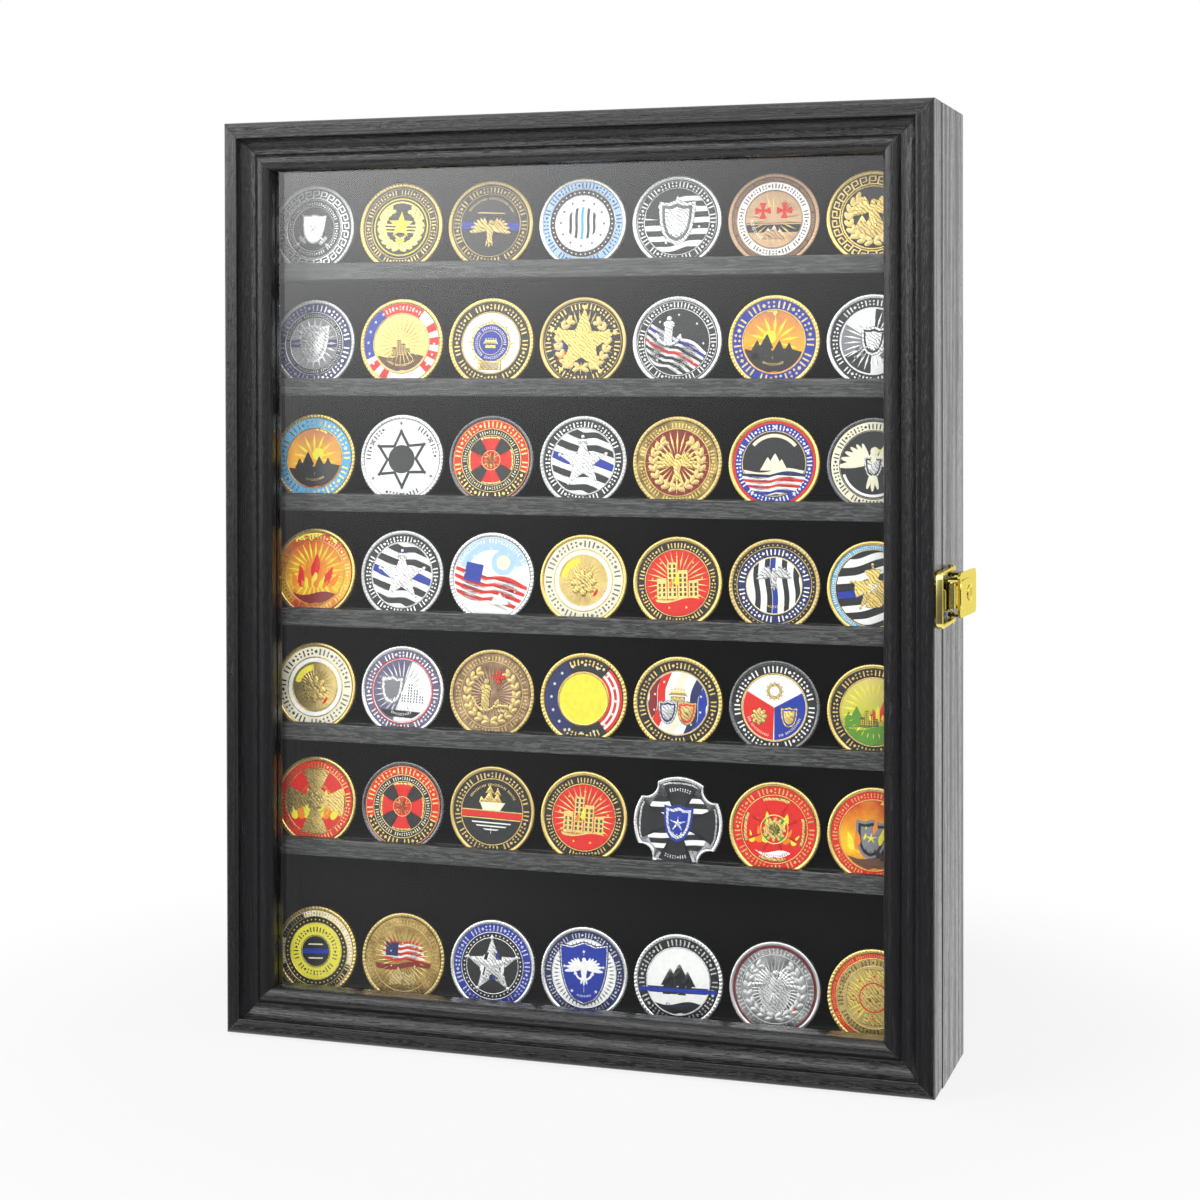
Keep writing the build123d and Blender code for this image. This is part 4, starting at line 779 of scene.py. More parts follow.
class Coin:
    # Each step of a design is a method with the step's name. The level rises a little from step to step,
    # so that a later form lies on the earlier ones.
    def __init__(self):
        self.parts = []
        self.level = coinLook["floor"] + 2 * coinLook["climb"]
        self.foot = coinLook["floor"] - coinLook["foot"]

    def climb(self, rise, under):
        self.level = min(self.level + rise, coinLook["top"] - under)

    def add(self, points, faces, colour, smooth, chased=0.0):
        self.parts.append((points, faces, colour, smooth, chased))

    def turned(self, profile, colour, count, smooth):
        self.add(*ringStack(spun(np.array(profile), around(count)), True), colour, smooth)

    def loft(self, outline, colour, style="flat", height=0.0, x=0.0, y=0.0, turn=0.0, edge=0.0):
        # an outline lofted upwards: each row is the outline drawn in towards its middle.
        # With an edge, a dark line that wide runs round its foot.
        middle = outline.mean(0)
        spin = np.array([[math.cos(turn), math.sin(turn)], [-math.sin(turn), math.cos(turn)]])
        levels = [(1, self.foot)] + [(share, self.level + up * height) for share, up in plateStyles[style]]
        if edge:
            grown = (outline - middle) * (1 + edge / np.abs(outline - middle).max(0)) + middle
            self.loft(grown, "black", "flat", -0.02, x, y, turn)
        rows = []
        for share, high in levels:
            flat = ((outline - middle) * share + middle) @ spin + (x, y)
            rows.append(np.concatenate([flat, np.full((len(flat), 1), high)], 1))
        self.add(*ringStack(np.array(rows)), colour, style == "dome", 1.0 if edge else 0.0)

    def rim(self, metal, edge, cut=None):
        # lathe from the back's middle over the reeded edge and the rim to the field's middle
        radius, half = coinLook["radius"] - 0.02, coinLook["thick"] / 2 - 0.01
        floor = coinLook["floor"]
        turns = around(288)
        profile = np.array([
            (1.0, -half + 0.3), (radius - 2.0, -half + 0.3), (radius - 1.6, -half), (radius - 0.4, -half),
            (radius, -half + 0.35), (radius, half - 0.35), (radius - 0.35, half), (radius - 0.9, half),
            (radius - 1.4, half), (radius - 1.8, half - 0.2), (radius - 2.0, floor), (9.0, floor), (1.0, floor)])
        shape = 1.0
        if cut:                       # four round bites between the arms
            gap = turns % (np.pi / 2) - np.pi / 4
            depth = 0.0784 - 1.2544 * np.sin(gap) ** 2
            shape = np.where(depth > 0, 1.12 * np.cos(gap) - np.sqrt(np.clip(depth, 0, 1)), 1.0)
            shape = np.minimum(shape, 1.0)
        grid = spun(profile, turns, shape)
        # the crest's rows 6 to 8 dip, slanted, for a rope
        for row, phase in {"rope": ((6, 0.0), (7, 0.8), (8, 1.6))}.get(edge, ()):
            grid[row, :, 2] -= 0.13 * (1 - np.cos(72 * turns + phase))
        grid[4:6, :, :2] *= (1 - 0.006 * (1 - np.cos(coinLook["reeds"] * turns)))[None, :, None]
        self.add(*ringStack(grid), metal, True)

    def band(self, colour, outer, inner):
        # flat ring
        corners = [(outer, self.foot), (outer, self.level), (inner, self.level), (inner, self.foot)]
        self.turned(corners, colour, 96, False)

    def wire(self, colour, radius, width=0.28):
        # raised ring with sloping sides
        top, narrow = self.level + 0.10, width * 0.6
        corners = [(radius + width, self.foot), (radius + narrow, top), (radius - narrow, top),
                   (radius - width, self.foot)]
        self.turned(corners, colour, 96 if radius > 6 else 36, True)

    def marks(self, shape, colour, radius, count, size, style="flat"):
        # the same small shape set round a circle
        upright = np.pi / 2 if shape in ("bar", "star", "chevron") else 0
        for turn in np.pi / 2 - around(int(count)):
            x, y = radius * math.cos(turn), radius * math.sin(turn)
            if shape == "key":        # meander: a hook of five strokes in each cell
                cell = 2 * math.pi * radius / int(count)
                for sx, sy, w, h in keyStrokes:
                    box = np.array([[w, -h], [w, h], [-w, h], [-w, -h]]) * (cell, size) + (sx * cell, sy * size)
                    self.loft(box, colour, "flat", 0.14, x, y, turn - np.pi / 2)
            else:
                self.loft(outlineOf(shape) * size, colour, style, coinLook["small"], x, y, turn - upright)

    def frieze(self, colour, radius, size, start=90.0, sweep=360.0):
        # fine ornamental border: bars, lozenges and pairs of dots that repeat round a circle
        count = int(math.radians(sweep) * radius / (size * 1.42))
        cell = math.radians(sweep) / count
        for k in range(count):
            turn = math.radians(start) - (k + 0.5) * cell
            for shape, y, halfWide, halfHigh in friezeStrokes[friezeOrder[k % len(friezeOrder)]]:
                outline = (outlineOf(shape) * (halfWide, halfHigh) + (0, y)) * size
                self.loft(outline, colour, "flat", coinLook["small"], radius * math.cos(turn),
                          radius * math.sin(turn), turn - np.pi / 2)

    def motif(self, kind, size, x, y, *colours):
        # every row of the motif on top of the last one
        for shape, share, dx, dy, turn, number, style, width in motifs[kind]:
            colour = colours[int(number)]
            stretch = (1, width) if shape in ("leaf", "ray", "square") else (width, 1)
            edge = (0.22 if kind in boldMotifs else 0.14) if colour in coinMetals and share > 0.2 else 0.0
            self.loft(outlineOf(shape) * share * size * stretch, colour, style, 0.05 if style == "flat" else 0.2,
                      x + dx * size, y + dy * size, math.radians(turn), edge)
            self.climb(0.004, 0.05)

    def plate(self, shape, colour, size, style="flat", x=0.0, y=0.0, turn=0.0):
        self.loft(outlineOf(shape) * size, colour, style, 0.06 if style == "flat" else 0.22, x, y,
                  math.radians(turn), 0.2 if colour in coinMetals else 0.0)

    def disc(self, colour, radius, x=0.0, y=0.0):
        self.loft(outlineOf("circle") * radius, colour, x=x, y=y)

    def belt(self, colour, low, high, radius, bend=0.0, turn=0.0):
        self.loft(discPart(low, high, radius, bend), colour, height=coinLook["low"],
                  turn=math.radians(turn))

    def waves(self, radius, low, high, bend, turn, *colours):
        # parallel stripes, one of each colour, from low to high
        levels = np.linspace(low, high, len(colours) + 1)
        for start, end, colour in zip(levels[:-1], levels[1:], colours):
            self.belt(colour, start + coinLook["clear"], end - coinLook["clear"], radius, bend, turn)

    def hills(self, colour, radius, level):
        # the ground below a wavy line
        self.loft(discPart(-radius * 0.98, level, radius, 1.6), colour, height=0.08)

    def rays(self, colour, inner, outer, count):
        middle = (inner + outer) / 2
        shape = outlineOf("ray") * ((outer - inner) / 2, 8 * middle / count)
        for turn in around(int(count)) + np.pi / 2:
            self.loft(shape, colour, "ridge", coinLook["leaf"], middle * math.cos(turn),
                      middle * math.sin(turn), turn)

    def wreath(self, colour, radius):
        # two rows of leaves up both sides
        for lift in np.radians(-80 + 17 * np.arange(9)):
            for way in (1, -1):
                for lean, off in ((0.55, 0.9), (-0.55, -0.9)):
                    x, y = (radius + off) * math.cos(lift), (radius + off) * math.sin(lift)
                    turn = lift + math.pi / 2 - lean
                    self.loft(outlineOf("leaf") * (2.0, 3.2), colour, "ridge", coinLook["leaf"], way * x, y,
                              turn if way > 0 else math.pi - turn)

    def sectors(self, radius, turn, *colours):
        step = 2 * math.pi / len(colours)
        for k, colour in enumerate(colours):
            self.loft(sector(k * step + 0.02, (k + 1) * step - 0.02, radius), colour, turn=math.radians(turn))

    def arc(self, colour, outer, inner, start, end):
        ends = np.radians(np.linspace(start, end, max(1, int(abs(end - start) / 18)) + 1))
        for first, last in zip(ends[:-1], ends[1:]):
            self.loft(sector(first, last, outer, inner), colour, height=coinLook["low"])


coinSteps = {step.__name__: step for step in (
    Coin.rim, Coin.band, Coin.wire, Coin.marks, Coin.frieze, Coin.motif, Coin.plate, Coin.disc, Coin.belt,
    Coin.waves, Coin.hills, Coin.rays, Coin.wreath, Coin.sectors, Coin.arc)}


def buildCoin(design):
    coin = Coin()
    for name, *values in rowsOf(design):
        coinSteps[name](coin, *values)
        coin.climb(coinLook["climb"], coinLook["headroom"])
    return coin.parts


# the latch's loop as a rounded bar, and the raised middle of its lever

latchLook = {                         # mm, in the cabinet's own frame
    "loopX": 172.0, "middle": 217.5,
    "loopEnd": -15.9, "loopFront": -48.0, "armApart": 23.0, "bend": 2.4,
    "sheet": 1.98, "width": 3.18, "square": 5.0,    # section of the loop and how square it is
    "leverPivot": (175.9, -24.5), "leverTilt": 3.5, "leverSheet": 1.2,
    "bossMiddle": 11.3, "bossReach": 10.9, "bossHalf": 6.9, "bossHeight": 0.62, "bossSquare": 5.0,
    "plugAt": 17.5, "plugHole": 3.5, "plugRim": 0.32,
    "sunk": 0.1,                      # how far the boss's foot lies in the lever's sheet
}


def superOutline(turns, reach, half, square):
    # rounded rectangle: |x / reach|^n + |y / half|^n = 1
    c, s = np.cos(turns), np.sin(turns)
    power = 2 / square
    return np.stack([reach * np.sign(c) * np.abs(c) ** power, half * np.sign(s) * np.abs(s) ** power], -1)


def latchLoop(look):
    # a rounded bar swept along a U: eye, arm, bend, crossbar, bend, arm, eye
    half, bend, front = look["armApart"] / 2, look["bend"], look["loopFront"]
    eye = look["width"] / 2
    start = look["loopEnd"] + eye
    run = eye * np.cos(np.linspace(0.0, np.pi / 2, 7))                  # the eye's round end
    ends = np.sin(np.linspace(0.05, np.pi / 2, 7))
    arm = np.concatenate([start - run, np.linspace(start, front + bend, 14)[1:]])
    curve = np.linspace(0, np.pi / 2, 9)[1:]
    y = np.concatenate([arm, front + bend - bend * np.sin(curve)])
    z = np.concatenate([np.full(len(arm), half), half - bend + bend * np.cos(curve)])
    aim = np.concatenate([np.zeros(len(arm)), curve])                   # turn of the path from straight forward
    thin = np.concatenate([ends, np.ones(len(y) - len(ends))])
    there, back = (y, z, aim, thin), (y[::-1], -z[::-1], np.pi - aim[::-1], thin[::-1])
    y, z, aim, thin = (np.concatenate(both) for both in zip(there, back))
    section = superOutline(around(28), look["width"] / 2, look["sheet"] / 2, look["square"])
    outward = np.stack([-np.sin(aim), np.cos(aim)], -1)                 # across the path, in its own plane
    slim = np.where(thin < 0.999, 0.999, 1.0)[:, None, None]
    across = section[:, 1][None, :, None] * outward[:, None, :] * slim
    grid = np.empty((len(y), len(section), 3))
    grid[..., 0] = look["loopX"] + section[:, 0] * thin[:, None]
    grid[..., 1] = y[:, None] + across[..., 0]
    grid[..., 2] = look["middle"] + z[:, None] + across[..., 1]
    return grid


def leverBoss(look):
    # raised middle of the lever: rings from the plug's hole out to a rounded rectangle, with rolled edges
    turns = around(96)
    aim = onCircle(turns)
    offset = look["plugAt"] - look["bossMiddle"]
    near, far = np.zeros(len(turns)), np.full(len(turns), 40.0)
    for step in range(40):                                             # distance to the outline, by halving
        reach = (near + far) / 2
        x, y = offset + aim[:, 0] * reach, aim[:, 1] * reach
        power = look["bossSquare"]
        inside = np.abs(x / look["bossReach"]) ** power + np.abs(y / look["bossHalf"]) ** power < 1
        near, far = np.where(inside, reach, near), np.where(inside, far, reach)
    edge, high, low = (near + far) / 2, look["bossHeight"], look["plugRim"]
    hole = np.full(len(turns), look["plugHole"])
    rows = [(hole, -look["sunk"]), (hole, 0.25), (hole + 0.12, low)]
    dish = edge - hole - 1.3                                           # from the plug up to the rolled rim
    rows += [(hole + 0.12 + dish * share, low + (high - low) * (1 - math.cos(math.pi * share)) / 2)
             for share in (0.2, 0.4, 0.6, 0.8, 1.0)]
    rows += [(edge - 1.18 + 1.18 * math.sin(t), high * math.cos(t)) for t in np.radians((18, 36, 54, 70, 82))]
    rows += [(edge, -look["sunk"])]
    c, s = math.cos(math.radians(look["leverTilt"])), math.sin(math.radians(look["leverTilt"]))
    px, py = look["leverPivot"]
    grid = []
    for reach, lift in rows:
        run, side = look["plugAt"] + aim[:, 0] * reach, aim[:, 1] * reach
        lift = lift + look["leverSheet"]
        grid.append(np.stack([px + run * s + lift * c, py + run * c - lift * s, look["middle"] + side], -1))
    return np.array(grid)


loopPiece = putPiece("latchLoop", *ringStack(latchLoop(latchLook)), finishes["brass"], "latch_loop", "brass")
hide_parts("latch_loop")
putPiece("leverBoss", *ringStack(leverBoss(latchLook), True), finishes["brass"], "latch_lever", "brass")
print("latch shaped")


# Steps of each coin, mostly from its rim inwards. Lengths in mm, turns in degrees. The order of the values
# is that of the methods of Coin.

coinText = """
keyDark: rim oldSilver rope; band black 19.4 14.4; marks key silver 16.9 26 1.9; wire silver 14.3; disc black
  13.8; frieze silver 12.3 0.84; wire oldSilver 10.9 0.2; motif swords 11 0 0 silver oldSilver; plate shield
  silver 7.4 flat; plate shield white 6.6 flat; belt blue -6 6 1 0; belt black -2.8 -1.6 4.6; belt black 0.2 1.4
  5.2; belt black 3.0 4.2 4.4; belt sky -6.2 6 0.8
goldStar: rim gold rope; disc black 19.3; wire gold 18.6 0.2; frieze gold 16.9 1.12; wire gold 15.2; wire yellow
  13.6 0.45; arc gold 12.4 11.6 20 160; belt gold 0.6 1.3 12.4; belt gold -1.0 -0.3 12; belt gold -2.6 -1.9 11;
  plate star5 yellow 6.6 ridge 0 1; motif chevrons 4.6 0 -5 gold yellow; wreath gold 9.8
blueBelt: rim oldGold rope; disc black 19.3; wire oldGold 18.7 0.2; frieze oldGold 16.9 1.25; wire oldGold 15;
  frieze oldGold 12.8 0.62 150 120; belt oldGold 7.6 8.2 7; belt oldGold 5.6 6.1 9; belt blue -2 1.4 15; wire
  oldGold 15; motif eagle 9.5 0 -2.6 oldGold gold
whiteRing: rim silver plain; band pale 19.4 16.4; frieze blue 17.9 1.25; wire silver 16.1 0.3; band black 15.8
  13.4; marks bead white 14.6 40 0.62; wire silver 13.2 0.3; disc white 13; waves 7.6 -6.5 6.5 0.3 90 black white
  black white sky white black white black; marks star navy 10.6 12 0.8
checkSilver: rim silver plain; disc black 19.3; wire silver 18.9 0.2; frieze white 17.3 1.25; wire silver 15.6;
  waves 15.3 -13 13 1.4 8 white black white black white black white black silver black; arc black 15.2 4 95 175;
  marks star white 11 7 0.9; motif badge 10.5 0 -0.5 silver nickel
bronzeRed: rim bronze rope; band brown 19.4 17.6; frieze bronze 18.4 0.72; wire bronze 17.3; band white 17 13.6;
  frieze brown 15.3 1.06; wire bronze 13.3; disc bronze 13; rays oldGold 3 12.8 22; belt black -6 -1.6 13; belt
  bronze -2.4 -1.9 13; frieze white 10 0.72 -120 60; plate cross red 3.6 flat -5 4; plate cross red 3.6 flat 5 4;
  motif peaks 5.6 0 -6.4 bronze white
keyGold: rim gold plain; band black 19.4 14.6; marks key gold 17 26 1.9; wire gold 14.3 0.5; disc black 13.8;
  motif peaks 12 0 -4 oldGold gold; motif eagle 11 0 2.4 gold yellow; wreath oldGold 11
navyShield: rim oldSilver rope; band navy 19.4 15.4; frieze silver 17.4 1.52; wire silver 15.2; band black 15
  12.6; frieze oldSilver 13.8 0.72; wire silver 12.5 0.2; disc grey 12.3; belt navy -1.8 1.8 12.2; rays oldSilver
  6 12.2 20; motif badge 9.6 0 0 silver oldSilver
tricolour: rim gold rope; disc white 19.3; arc red 19.2 14.6 55 125; arc blue 19.2 14.6 125 205; arc red 19.2 14.6
  214 226; arc red 19.2 14.6 236 248; arc red 19.2 14.6 314 326; arc red 19.2 14.6 336 348; arc red 19.2 14.6 358
  370; arc red 19.2 14.6 380 392; frieze cream 17 1.19 122 66; marks star white 17 20 0.8; wire gold 14.3 0.4;
  disc oldGold 13.8; rays gold 2 13.4 26; hills brown 13.4 -6; motif towers 5.6 0 -2.4 brown oldGold; frieze gold
  10.6 0.56 -50 80
shieldWhite: rim gold rope; band black 19.4 15; frieze gold 17.2 1.32; wire gold 14.7; disc white 14.3; plate
  star8 gold 12 flat; plate circle gold 9.6 flat; plate circle blue 8.8 flat; frieze white 7.2 0.72; wire gold 5.7
  0.25; motif crown 5.2 0 0.4 gold yellow; plate bar gold 5.6 flat 0 -10.6 90; plate bar cream 4.8 flat 0 -10.6 90
bigStar: rim oldGold plain; disc black 19.3; wire oldGold 18.8 0.2; frieze gold 17 1.32; rays oldGold 9 15.4 34;
  arc blue 14 9 180 205; arc red 14 9 210 225; arc white 14 9 228 236; wreath oldGold 12; motif starBadge 16.4 0 0
  gold oldGold; frieze gold 5 0.5
ribbons: rim silver plain; disc black 19.3; wire silver 18.9 0.2; frieze white 17.3 1.19; wire silver 15.6; disc
  black 15.2; waves 15 -13 2 2.6 -24 white black white black white red white black white blue white; marks star
  white 12.6 8 0.7; motif anchor 8.4 -4.4 4.4 silver nickel
sunsetBlue: rim gold rope; band blue 19.4 14.8; frieze gold 17.1 1.65; wire gold 14.6 0.4; disc sunset 14.2; rays
  yellow 3 12 14; disc yellow 3 -2 2; hills black 14 -4; motif trees 11 0 -1 black black; frieze gold 10.5 0.56
  -60 60
silverBlack: rim silver plain; band black 19.4 15.4; frieze silver 17.4 1.25; wire silver 15.2; disc white 15;
  sectors 14.6 30 black white grey black white grey; rays silver 5 14 26; motif swords 11 0 0 silver nickel; motif
  badge 6.6 0 0 silver black
sunsetSky: rim gold rope; band sky 19.4 14.8; frieze gold 17.1 1.65; wire gold 14.6 0.4; disc sunset 14.2; rays
  yellow 3 12 14; disc yellow 3 2 2; hills black 14 -4; motif trees 11 0 -1 black black; frieze gold 10.5 0.56 -60
  60
whiteStar: rim silver rope; disc white 19.3; frieze black 17.2 1.19 60 60; frieze black 17.2 1.19 180 60; frieze
  black 17.2 1.19 300 60; marks diamond nickel 17.2 6 1.1; plate star6 black 14.6 flat; plate star6 white 11.8
  flat; plate circle black 6.8 flat; waves 6.2 -6 6 0 90 white black white blue white black white; marks star
  black 13.6 6 1.1
redCross: rim nickel plain; disc red 19.3; wire gold 18.9 0.2; arc black 19 15 200 340; frieze gold 17 1.45; wire
  gold 14.9; band black 14.7 12; frieze cream 13.3 0.84; wire gold 11.8; disc black 11.6; plate cross gold 11
  flat; plate cross red 10.3 flat; disc red 4.6; wire gold 4.6; motif gear 3.6 0 0 gold red
greyStar: rim oldSilver rope; disc black 19.3; frieze silver 17.4 1.25; wire silver 15.7; disc white 15.4; waves
  15.2 -14 14 1.8 -14 black white black white black white black white black; belt blue -1.6 1.8 15.2 1.8 -14;
  motif starBadge 12 0 -0.4 silver oldSilver; motif crown 4 0 9.4 silver blue
redRays: rim oldGold rope; disc oldGold 19.3; frieze gold 17.2 1.12; wire gold 15.6; disc darkRed 15.3; rays gold
  4 15 24; motif eagle 10 0 -1.5 gold yellow; wreath oldGold 11.6
redRibbon: rim gold plain; band red 19.4 18.3; band blue 18.2 15; frieze white 16.6 1.19; wire gold 14.8; disc
  black 14.5; arc cream 13.6 12 40 140; hills cream 14.3 -3; motif peaks 7 0 0 cream white; waves 15.8 -13.5 -4.5
  1.8 0 blue white red white red white navy; marks star white 16.6 5 1.1; frieze navy 8.6 0.56 -60 60
creamSilver: rim nickel plain; disc cream 19.3; frieze black 17.3 1.19; wire nickel 15.5; disc black 15.2; motif
  eagle 14.4 0 0 cream yellow; motif badge 5 0 -1 oldSilver black; arc white 14.6 13.4 200 340
flameCoin: rim gold plain; disc flame 19.3; frieze gold 17.3 1.19; rays yellow 6 15.4 26; wire gold 15.5; motif
  flames 13 0 1 red orange; motif flames 7.6 0 -2.6 yellow orange; hills darkRed 15 -10
stripeSky: rim silver rope; disc white 19.3; arc pale 19 13 20 160; frieze silver 17.4 1.06 160 140; disc pale 6 6
  7; waves 18.6 -13 0.6 2.6 -16 white red white red white red white red; plate square blue 4.3 flat -9 2.6 -12;
  marks star cream 13.6 9 0.6; disc cream 3.4 6 7; motif peaks 5 4 -10.4 white cream
whiteGold: rim gold plain; band cream 19.4 14.6; frieze nickel 17 1.52; wire gold 14.3 0.4; band white 14 12; wire
  gold 11.8 0.4; disc oldGold 11.5; rays gold 1.5 11.3 30; arc yellow 10.8 8 100 170; motif rose 7 0 -1 gold
  oldGold; plate leaf red 2 ridge 6 -6 60
redGround: rim gold plain; disc black 19.3; frieze gold 17.3 1.12; wire gold 15.5; disc red 15.2; rays oldGold 5
  15 30; motif towers 12 0 1 gold brown; hills red 15 -8; belt gold -8.6 -7.4 13 1.2; plate flame yellow 3 ridge 0
  2; plate flame orange 2 ridge -3 0; marks star yellow 12 9 0.7
navyStripes: rim oldGold rope; band black 19.4 17.6; marks bead gold 18.4 54 0.62 dome; wire gold 17.5 0.2; band
  navy 17.2 13.2; frieze silver 15.3 1.32; wire gold 13; disc white 12.8; waves 12.6 -12 12 0.7 90 black white
  black white blue black white black white; motif eagle 7.4 0 4 oldSilver silver; frieze gold 9.6 0.56 -60 60
skyCross: rim gold plain; band sky 19.4 17.6; frieze white 18.5 0.72; wire gold 17.4; disc black 17.2; waves 16.8
  -15 15 1.2 10 white black white black blue black white black white; motif starBadge 10.6 0 0 oldGold gold; plate
  cross gold 8.4 ridge; plate circle silver 2.6 ridge
halves: rim silver plain; band purple 19.4 15.4; frieze silver 17.4 1.32; wire silver 15.2; disc grey 15; sectors
  14.8 75 purple white; rays silver 4 14.4 28; arc red 15.8 15.3 0 359; motif badge 7.6 -5.4 0 grey silver; motif
  towers 7.2 5.6 -1 silver black; belt black -12.6 -9.4 14; frieze white 11.2 0.62 -60 60
bronzeRelief: rim oldGold rope; disc bronze 19.3; frieze oldGold 17.2 1.19; wire oldGold 15.6; rays bronze 3 15.2
  36; wreath oldGold 12.4; motif anchor 9.4 -3 -1 oldGold bronze; motif crown 5 6 -5 oldGold bronze; plate cross
  red 3 flat 3 8.6
yellowDisc: rim gold rope; disc black 19.3; arc navy 19 12.6 120 250; arc red 19 17.7 -50 50; arc white 17.6 16.4
  -50 50; arc red 16.3 15.2 -50 50; arc white 15.1 13.9 -50 50; arc red 13.8 12.6 -50 50; frieze gold 17 1.32 118
  64; frieze gold 17 1.32 302 64; marks star white 15.8 16 0.9; wire gold 12.3 0.5; disc yellow 12; wire gold 12
  0.6
threeFold: rim gold rope; band black 19.4 15; frieze gold 17.2 1.32; wire gold 14.7; disc white 14.4; waves 14.2
  -14 14 1.6 78 blue navy white cream white red darkRed; marks star white 11.6 10 0.7; motif crown 6.4 0 4.6
  oldGold gold; motif badge 5.4 -4.6 -4.4 oldSilver navy; motif badge 5.4 4.6 -4.4 oldGold red
threeSectors: rim nickel plain; band black 19.4 15.4; frieze white 17.4 1.39; wire gold 15.2 0.4; disc white 14.8;
  sectors 14.6 30 white red blue; motif gear 4.2 0 7.4 oldGold white; motif rose 4.2 -7 -4.2 gold oldGold; motif
  badge 4.6 7 -4.2 gold blue; frieze cream 12.8 0.56 -20 60; frieze cream 12.8 0.56 -100 60
meadowCoin: rim gold plain; band black 19.4 15.6; frieze gold 17.5 1.25; wire gold 15.3; disc meadow 15; rays
  yellow 7 14.6 26; hills green 14.8 -7; motif trees 9 -5 -1 green brown; motif flames 7 4 0 red yellow; motif
  towers 5 -2 -3 brown yellow
goldCross: rim gold plain; disc red 19.3; frieze gold 17.4 1.19; wire gold 15.8; motif flames 14 0 0 orange
  yellow; plate cross gold 15 ridge; wire oldGold 6 0.4; disc gold 5.8; motif rose 5 0 0 oldGold gold; frieze gold
  8.4 0.56
redBelt: rim oldGold plain; disc black 19.3; frieze gold 17.3 1.32; wire gold 15.5; belt red -2.6 0 15.3; belt
  gold 0.2 0.7 15.2; belt gold -3.4 -2.9 15; belt white -5.4 -4.8 11; belt white -7.0 -6.4 10; belt white -8.6
  -8.0 9; belt white -10.2 -9.6 7; motif ship 8 0 6 cream gold; frieze gold 12.8 0.56 150 120
cutCross: rim silver plain cut; plate cross black 19.6 flat; plate cross silver 18.4 flat; plate cross black 17.6
  flat; waves 15.6 -13 13 0.8 8 black white black white black red black white black white black; frieze silver
  15.4 0.84 110 40; frieze silver 15.4 0.84 -70 40; motif badge 8.6 0 0 blue silver; plate star5 silver 4 ridge
greenHeart: rim gold plain; disc red 19.3; frieze gold 17.3 1.32; wire gold 15.4; motif flames 13.6 0 2 orange
  yellow; plate cross gold 14 flat; plate cross red 12.8 flat; disc green 6.4; wire gold 6.4 0.4; motif gear 5.2 0
  0 gold green; hills white 13 -10; frieze red 12.2 0.72 -55 70
redGrey: rim gold plain; band red 19.4 16; frieze gold 17.7 1.06; wire gold 15.8; disc flame 15.5; motif flames 13
  0 1 orange yellow; motif badge 9 -1 -2 grey black; plate star5 yellow 3.4 ridge -1 -1.4; hills brown 15 -10;
  motif trees 6 7 -7 black brown
creamYellow: rim gold rope; band cream 19.4 16.8; arc black 19.2 16.8 110 160; arc black 19.2 16.8 200 250; arc
  black 19.2 16.8 -70 -20; frieze gold 18.1 1.06; wire gold 16.6; band black 16.4 13.8; marks bead yellow 15.1 44
  0.6; wire gold 13.6; disc yellow 13.4; frieze nickel 10.4 1.19; wire nickel 7.6; disc black 7.2; belt blue -1.2
  1.2 7; belt cream 3 3.6 5; belt cream -3.6 -3 5
redScroll: rim oldGold rope; disc gold 19.3; frieze oldGold 17.2 1.19; wire oldGold 15.6; rays oldGold 5 15.2 34;
  waves 11 -1 8 1.8 -8 red white red white red white red; plate square navy 3.2 flat -5.6 4.4 -4; belt darkRed
  -4.6 -2.2 14.4 1.2; frieze cream 9 0.56 -60 60; motif trees 8 0 -7 oldGold bronze; marks star white 7 6 0.5
blueDots: rim silver plain; band blue 19.4 15.8; frieze silver 17.6 1.32; wire silver 15.6; disc black 15.3; marks
  bead white 14.2 44 0.6; wire silver 13; motif starBadge 13 0 0 silver black; waves 6.4 -6 6 0.6 80 white black
  blue black white black white; marks star white 10.4 5 0.8
blueShield: rim silver plain; disc navy 19.3; frieze silver 17.5 1.12; wire silver 15.8; disc white 15.6; rays
  nickel 12 15.4 48; plate shield navy 14.8 flat; plate shield silver 14.2 flat; plate shield blue 13.6 flat;
  motif anchor 6.4 0 1.6 white blue; waves 10 -4.4 4.4 1 0 blue blue blue; belt white 8.2 9 8; belt white -8.6
  -7.8 5; marks star white 10 5 0.9; frieze white 10.4 0.5 -70 40; motif eagle 8.6 0 1.6 white silver
blueRound: rim silver rope; band black 19.4 15.6; frieze silver 17.5 1.39; wire silver 15.3; disc white 15; belt
  navy -5.4 -2.6 14.8; motif peaks 9 0 2 black nickel; motif trees 8 0 -0.6 black black; hills black 14.8 -10;
  frieze navy 11.6 0.72 -55 70; belt blue -5 -3.2 18.9
reliefSilver: rim oldSilver plain; band darkRed 19.4 18.7; disc oldSilver 18.4; frieze silver 17 1.25; wire
  oldSilver 15.4; rays oldSilver 3 15 40; motif badge 10 0 -2 silver oldSilver; motif eagle 12 0 2 silver
  oldSilver; plate star8 red 1.8 flat 9 -9; wreath oldSilver 12.6
redRope: rim gold rope; band red 19.4 17.4; frieze gold 18.4 0.72; wire gold 17.2; disc gold 17; frieze nickel
  15.3 1.19; wire gold 13.8; disc oldGold 13.6; rays yellow 5 13.4 30; plate cross gold 12 ridge; wire red 6.4
  0.5; motif gear 5.4 0 0 gold oldGold; marks bead red 9.4 8 0.9
"""
coinDesigns = dict(entry.split(": ", 1) for entry in coinText.strip().replace("\n  ", " ").split("\n"))

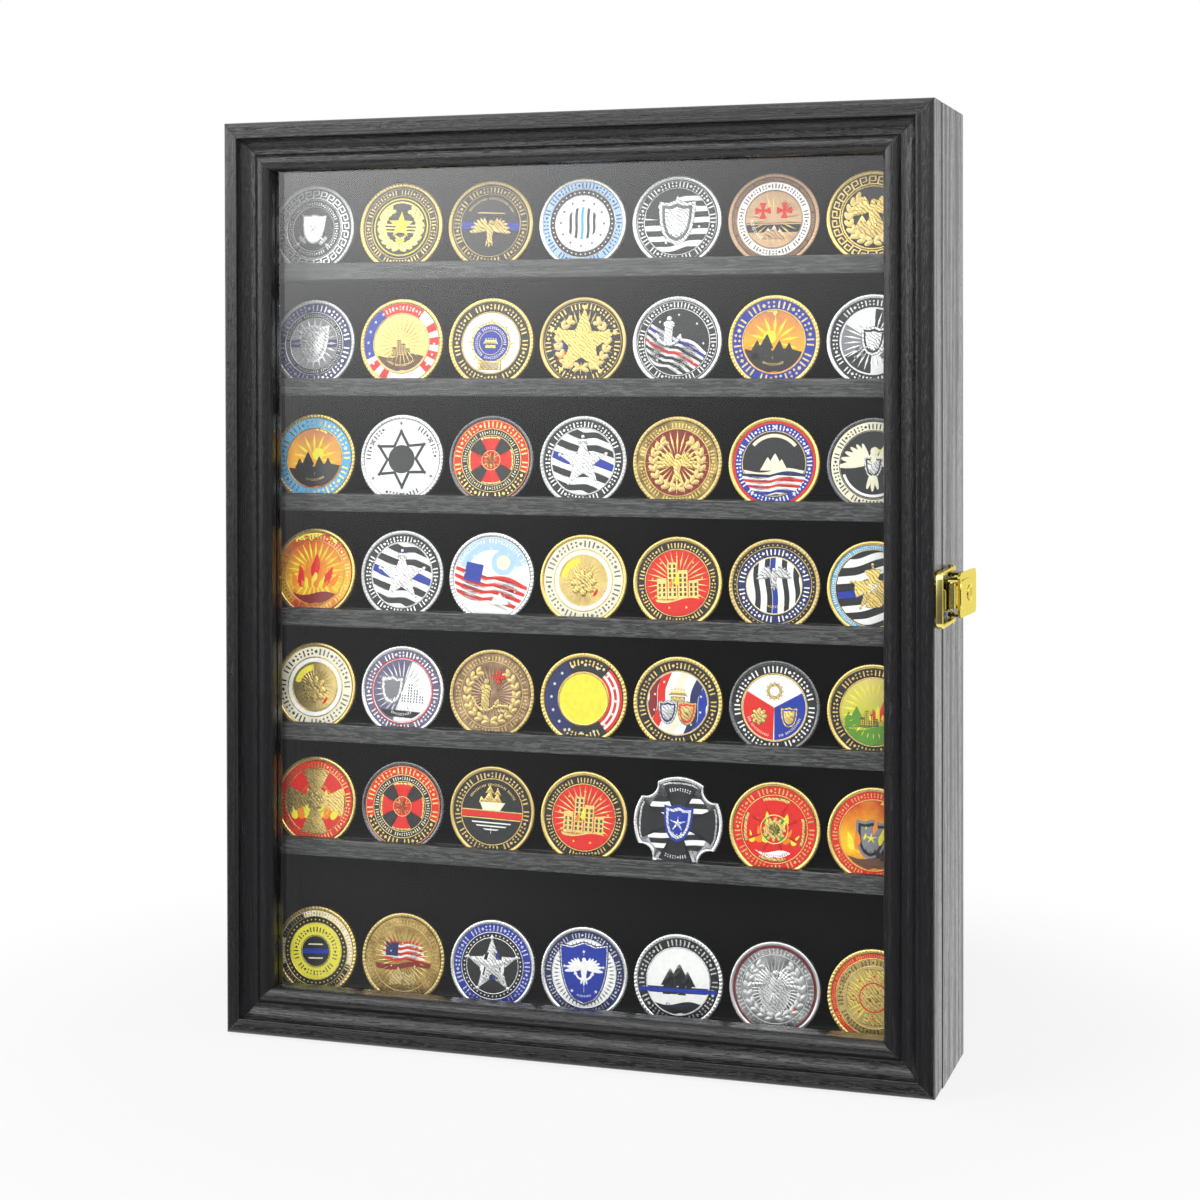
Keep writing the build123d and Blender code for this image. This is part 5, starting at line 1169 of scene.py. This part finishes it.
coinRows = [
    "keyDark goldStar blueBelt whiteRing checkSilver bronzeRed keyGold",
    "navyShield tricolour shieldWhite bigStar ribbons sunsetBlue silverBlack",
    "sunsetSky whiteStar redCross greyStar redRays redRibbon creamSilver",
    "flameCoin greyStar stripeSky whiteGold redGround navyStripes skyCross",
    "whiteGold halves bronzeRelief yellowDisc threeFold threeSectors meadowCoin",
    "goldCross redCross redBelt redGround cutCross greenHeart redGrey",
    "creamYellow redScroll blueDots blueShield blueRound reliefSilver redRope",
]


def placeRow(number, names):
    # seven coins side by side in the groove, each leaned back; one mesh for the row
    node = f"coins_row_{number}"
    low, high = (np.array(corner) * 1000 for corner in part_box(node))
    lean, radius = math.radians(coinLook["lean"]), coinLook["radius"]
    out = np.array([0, -math.cos(lean), math.sin(lean)])
    up = np.array([0, math.sin(lean), math.cos(lean)])
    across = np.linspace(low[0] + radius, high[0] - radius, len(names))
    parts = []
    count = 0
    for k, (x, name) in enumerate(zip(across, names)):
        turn = math.radians(coinLook["sway"] * math.sin(12.9 * k + 4.7 * number))   # never twice alike
        c, s = math.cos(turn), math.sin(turn)
        middle = np.array([x, (low[1] + high[1]) / 2, (low[2] + high[2]) / 2])
        for flat, triangles, colour, isSmooth, chased in buildCoin(coinDesigns[name]):
            sideways, upwards = flat[:, :1] * c - flat[:, 1:2] * s, flat[:, :1] * s + flat[:, 1:2] * c
            placed = middle + sideways * (1, 0, 0) + upwards * up + flat[:, 2:] * out
            parts.append((
                placed / 1000,
                triangles + count,
                np.full(len(triangles), coinColours.index(colour)),
                np.full(len(triangles), isSmooth),
                np.concatenate([flat[:, :2] / radius, np.full((len(flat), 1), k)], 1),
                np.clip((flat[:, 2] - coinLook["floor"]) / 0.42, 0, 1),
                np.full(len(flat), chased),
            ))
            count += len(flat)
    points, faces, colours, smooth, spots, rises, chasing = (np.concatenate(part) for part in zip(*parts))
    rowName = f"coinRow{number}"
    mesh = bpy.data.meshes.new(rowName)
    mesh.from_pydata(points, [], faces)
    used, slotOf = np.unique(colours, return_inverse=True)
    for k in used:
        mesh.materials.append(coinMaterials[k])
    mesh.polygons.foreach_set("material_index", slotOf)
    mesh.polygons.foreach_set("use_smooth", smooth)
    for name, kind, key, values in (("spot", "FLOAT_VECTOR", "vector", spots), ("rise", "FLOAT", "value", rises),
                                    ("chased", "FLOAT", "value", chasing)):
        data = mesh.attributes.new(name, kind, "POINT").data
        data.foreach_set(key, values.astype(np.float32).ravel())
    mesh.update()
    row = placeObject(rowName, mesh)
    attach(row, "cabinet")
    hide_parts(node)
    return len(mesh.polygons)


triangleCount = sum(placeRow(k + 1, names.split()) for k, names in enumerate(coinRows))
print("coins struck:", triangleCount, "triangles")
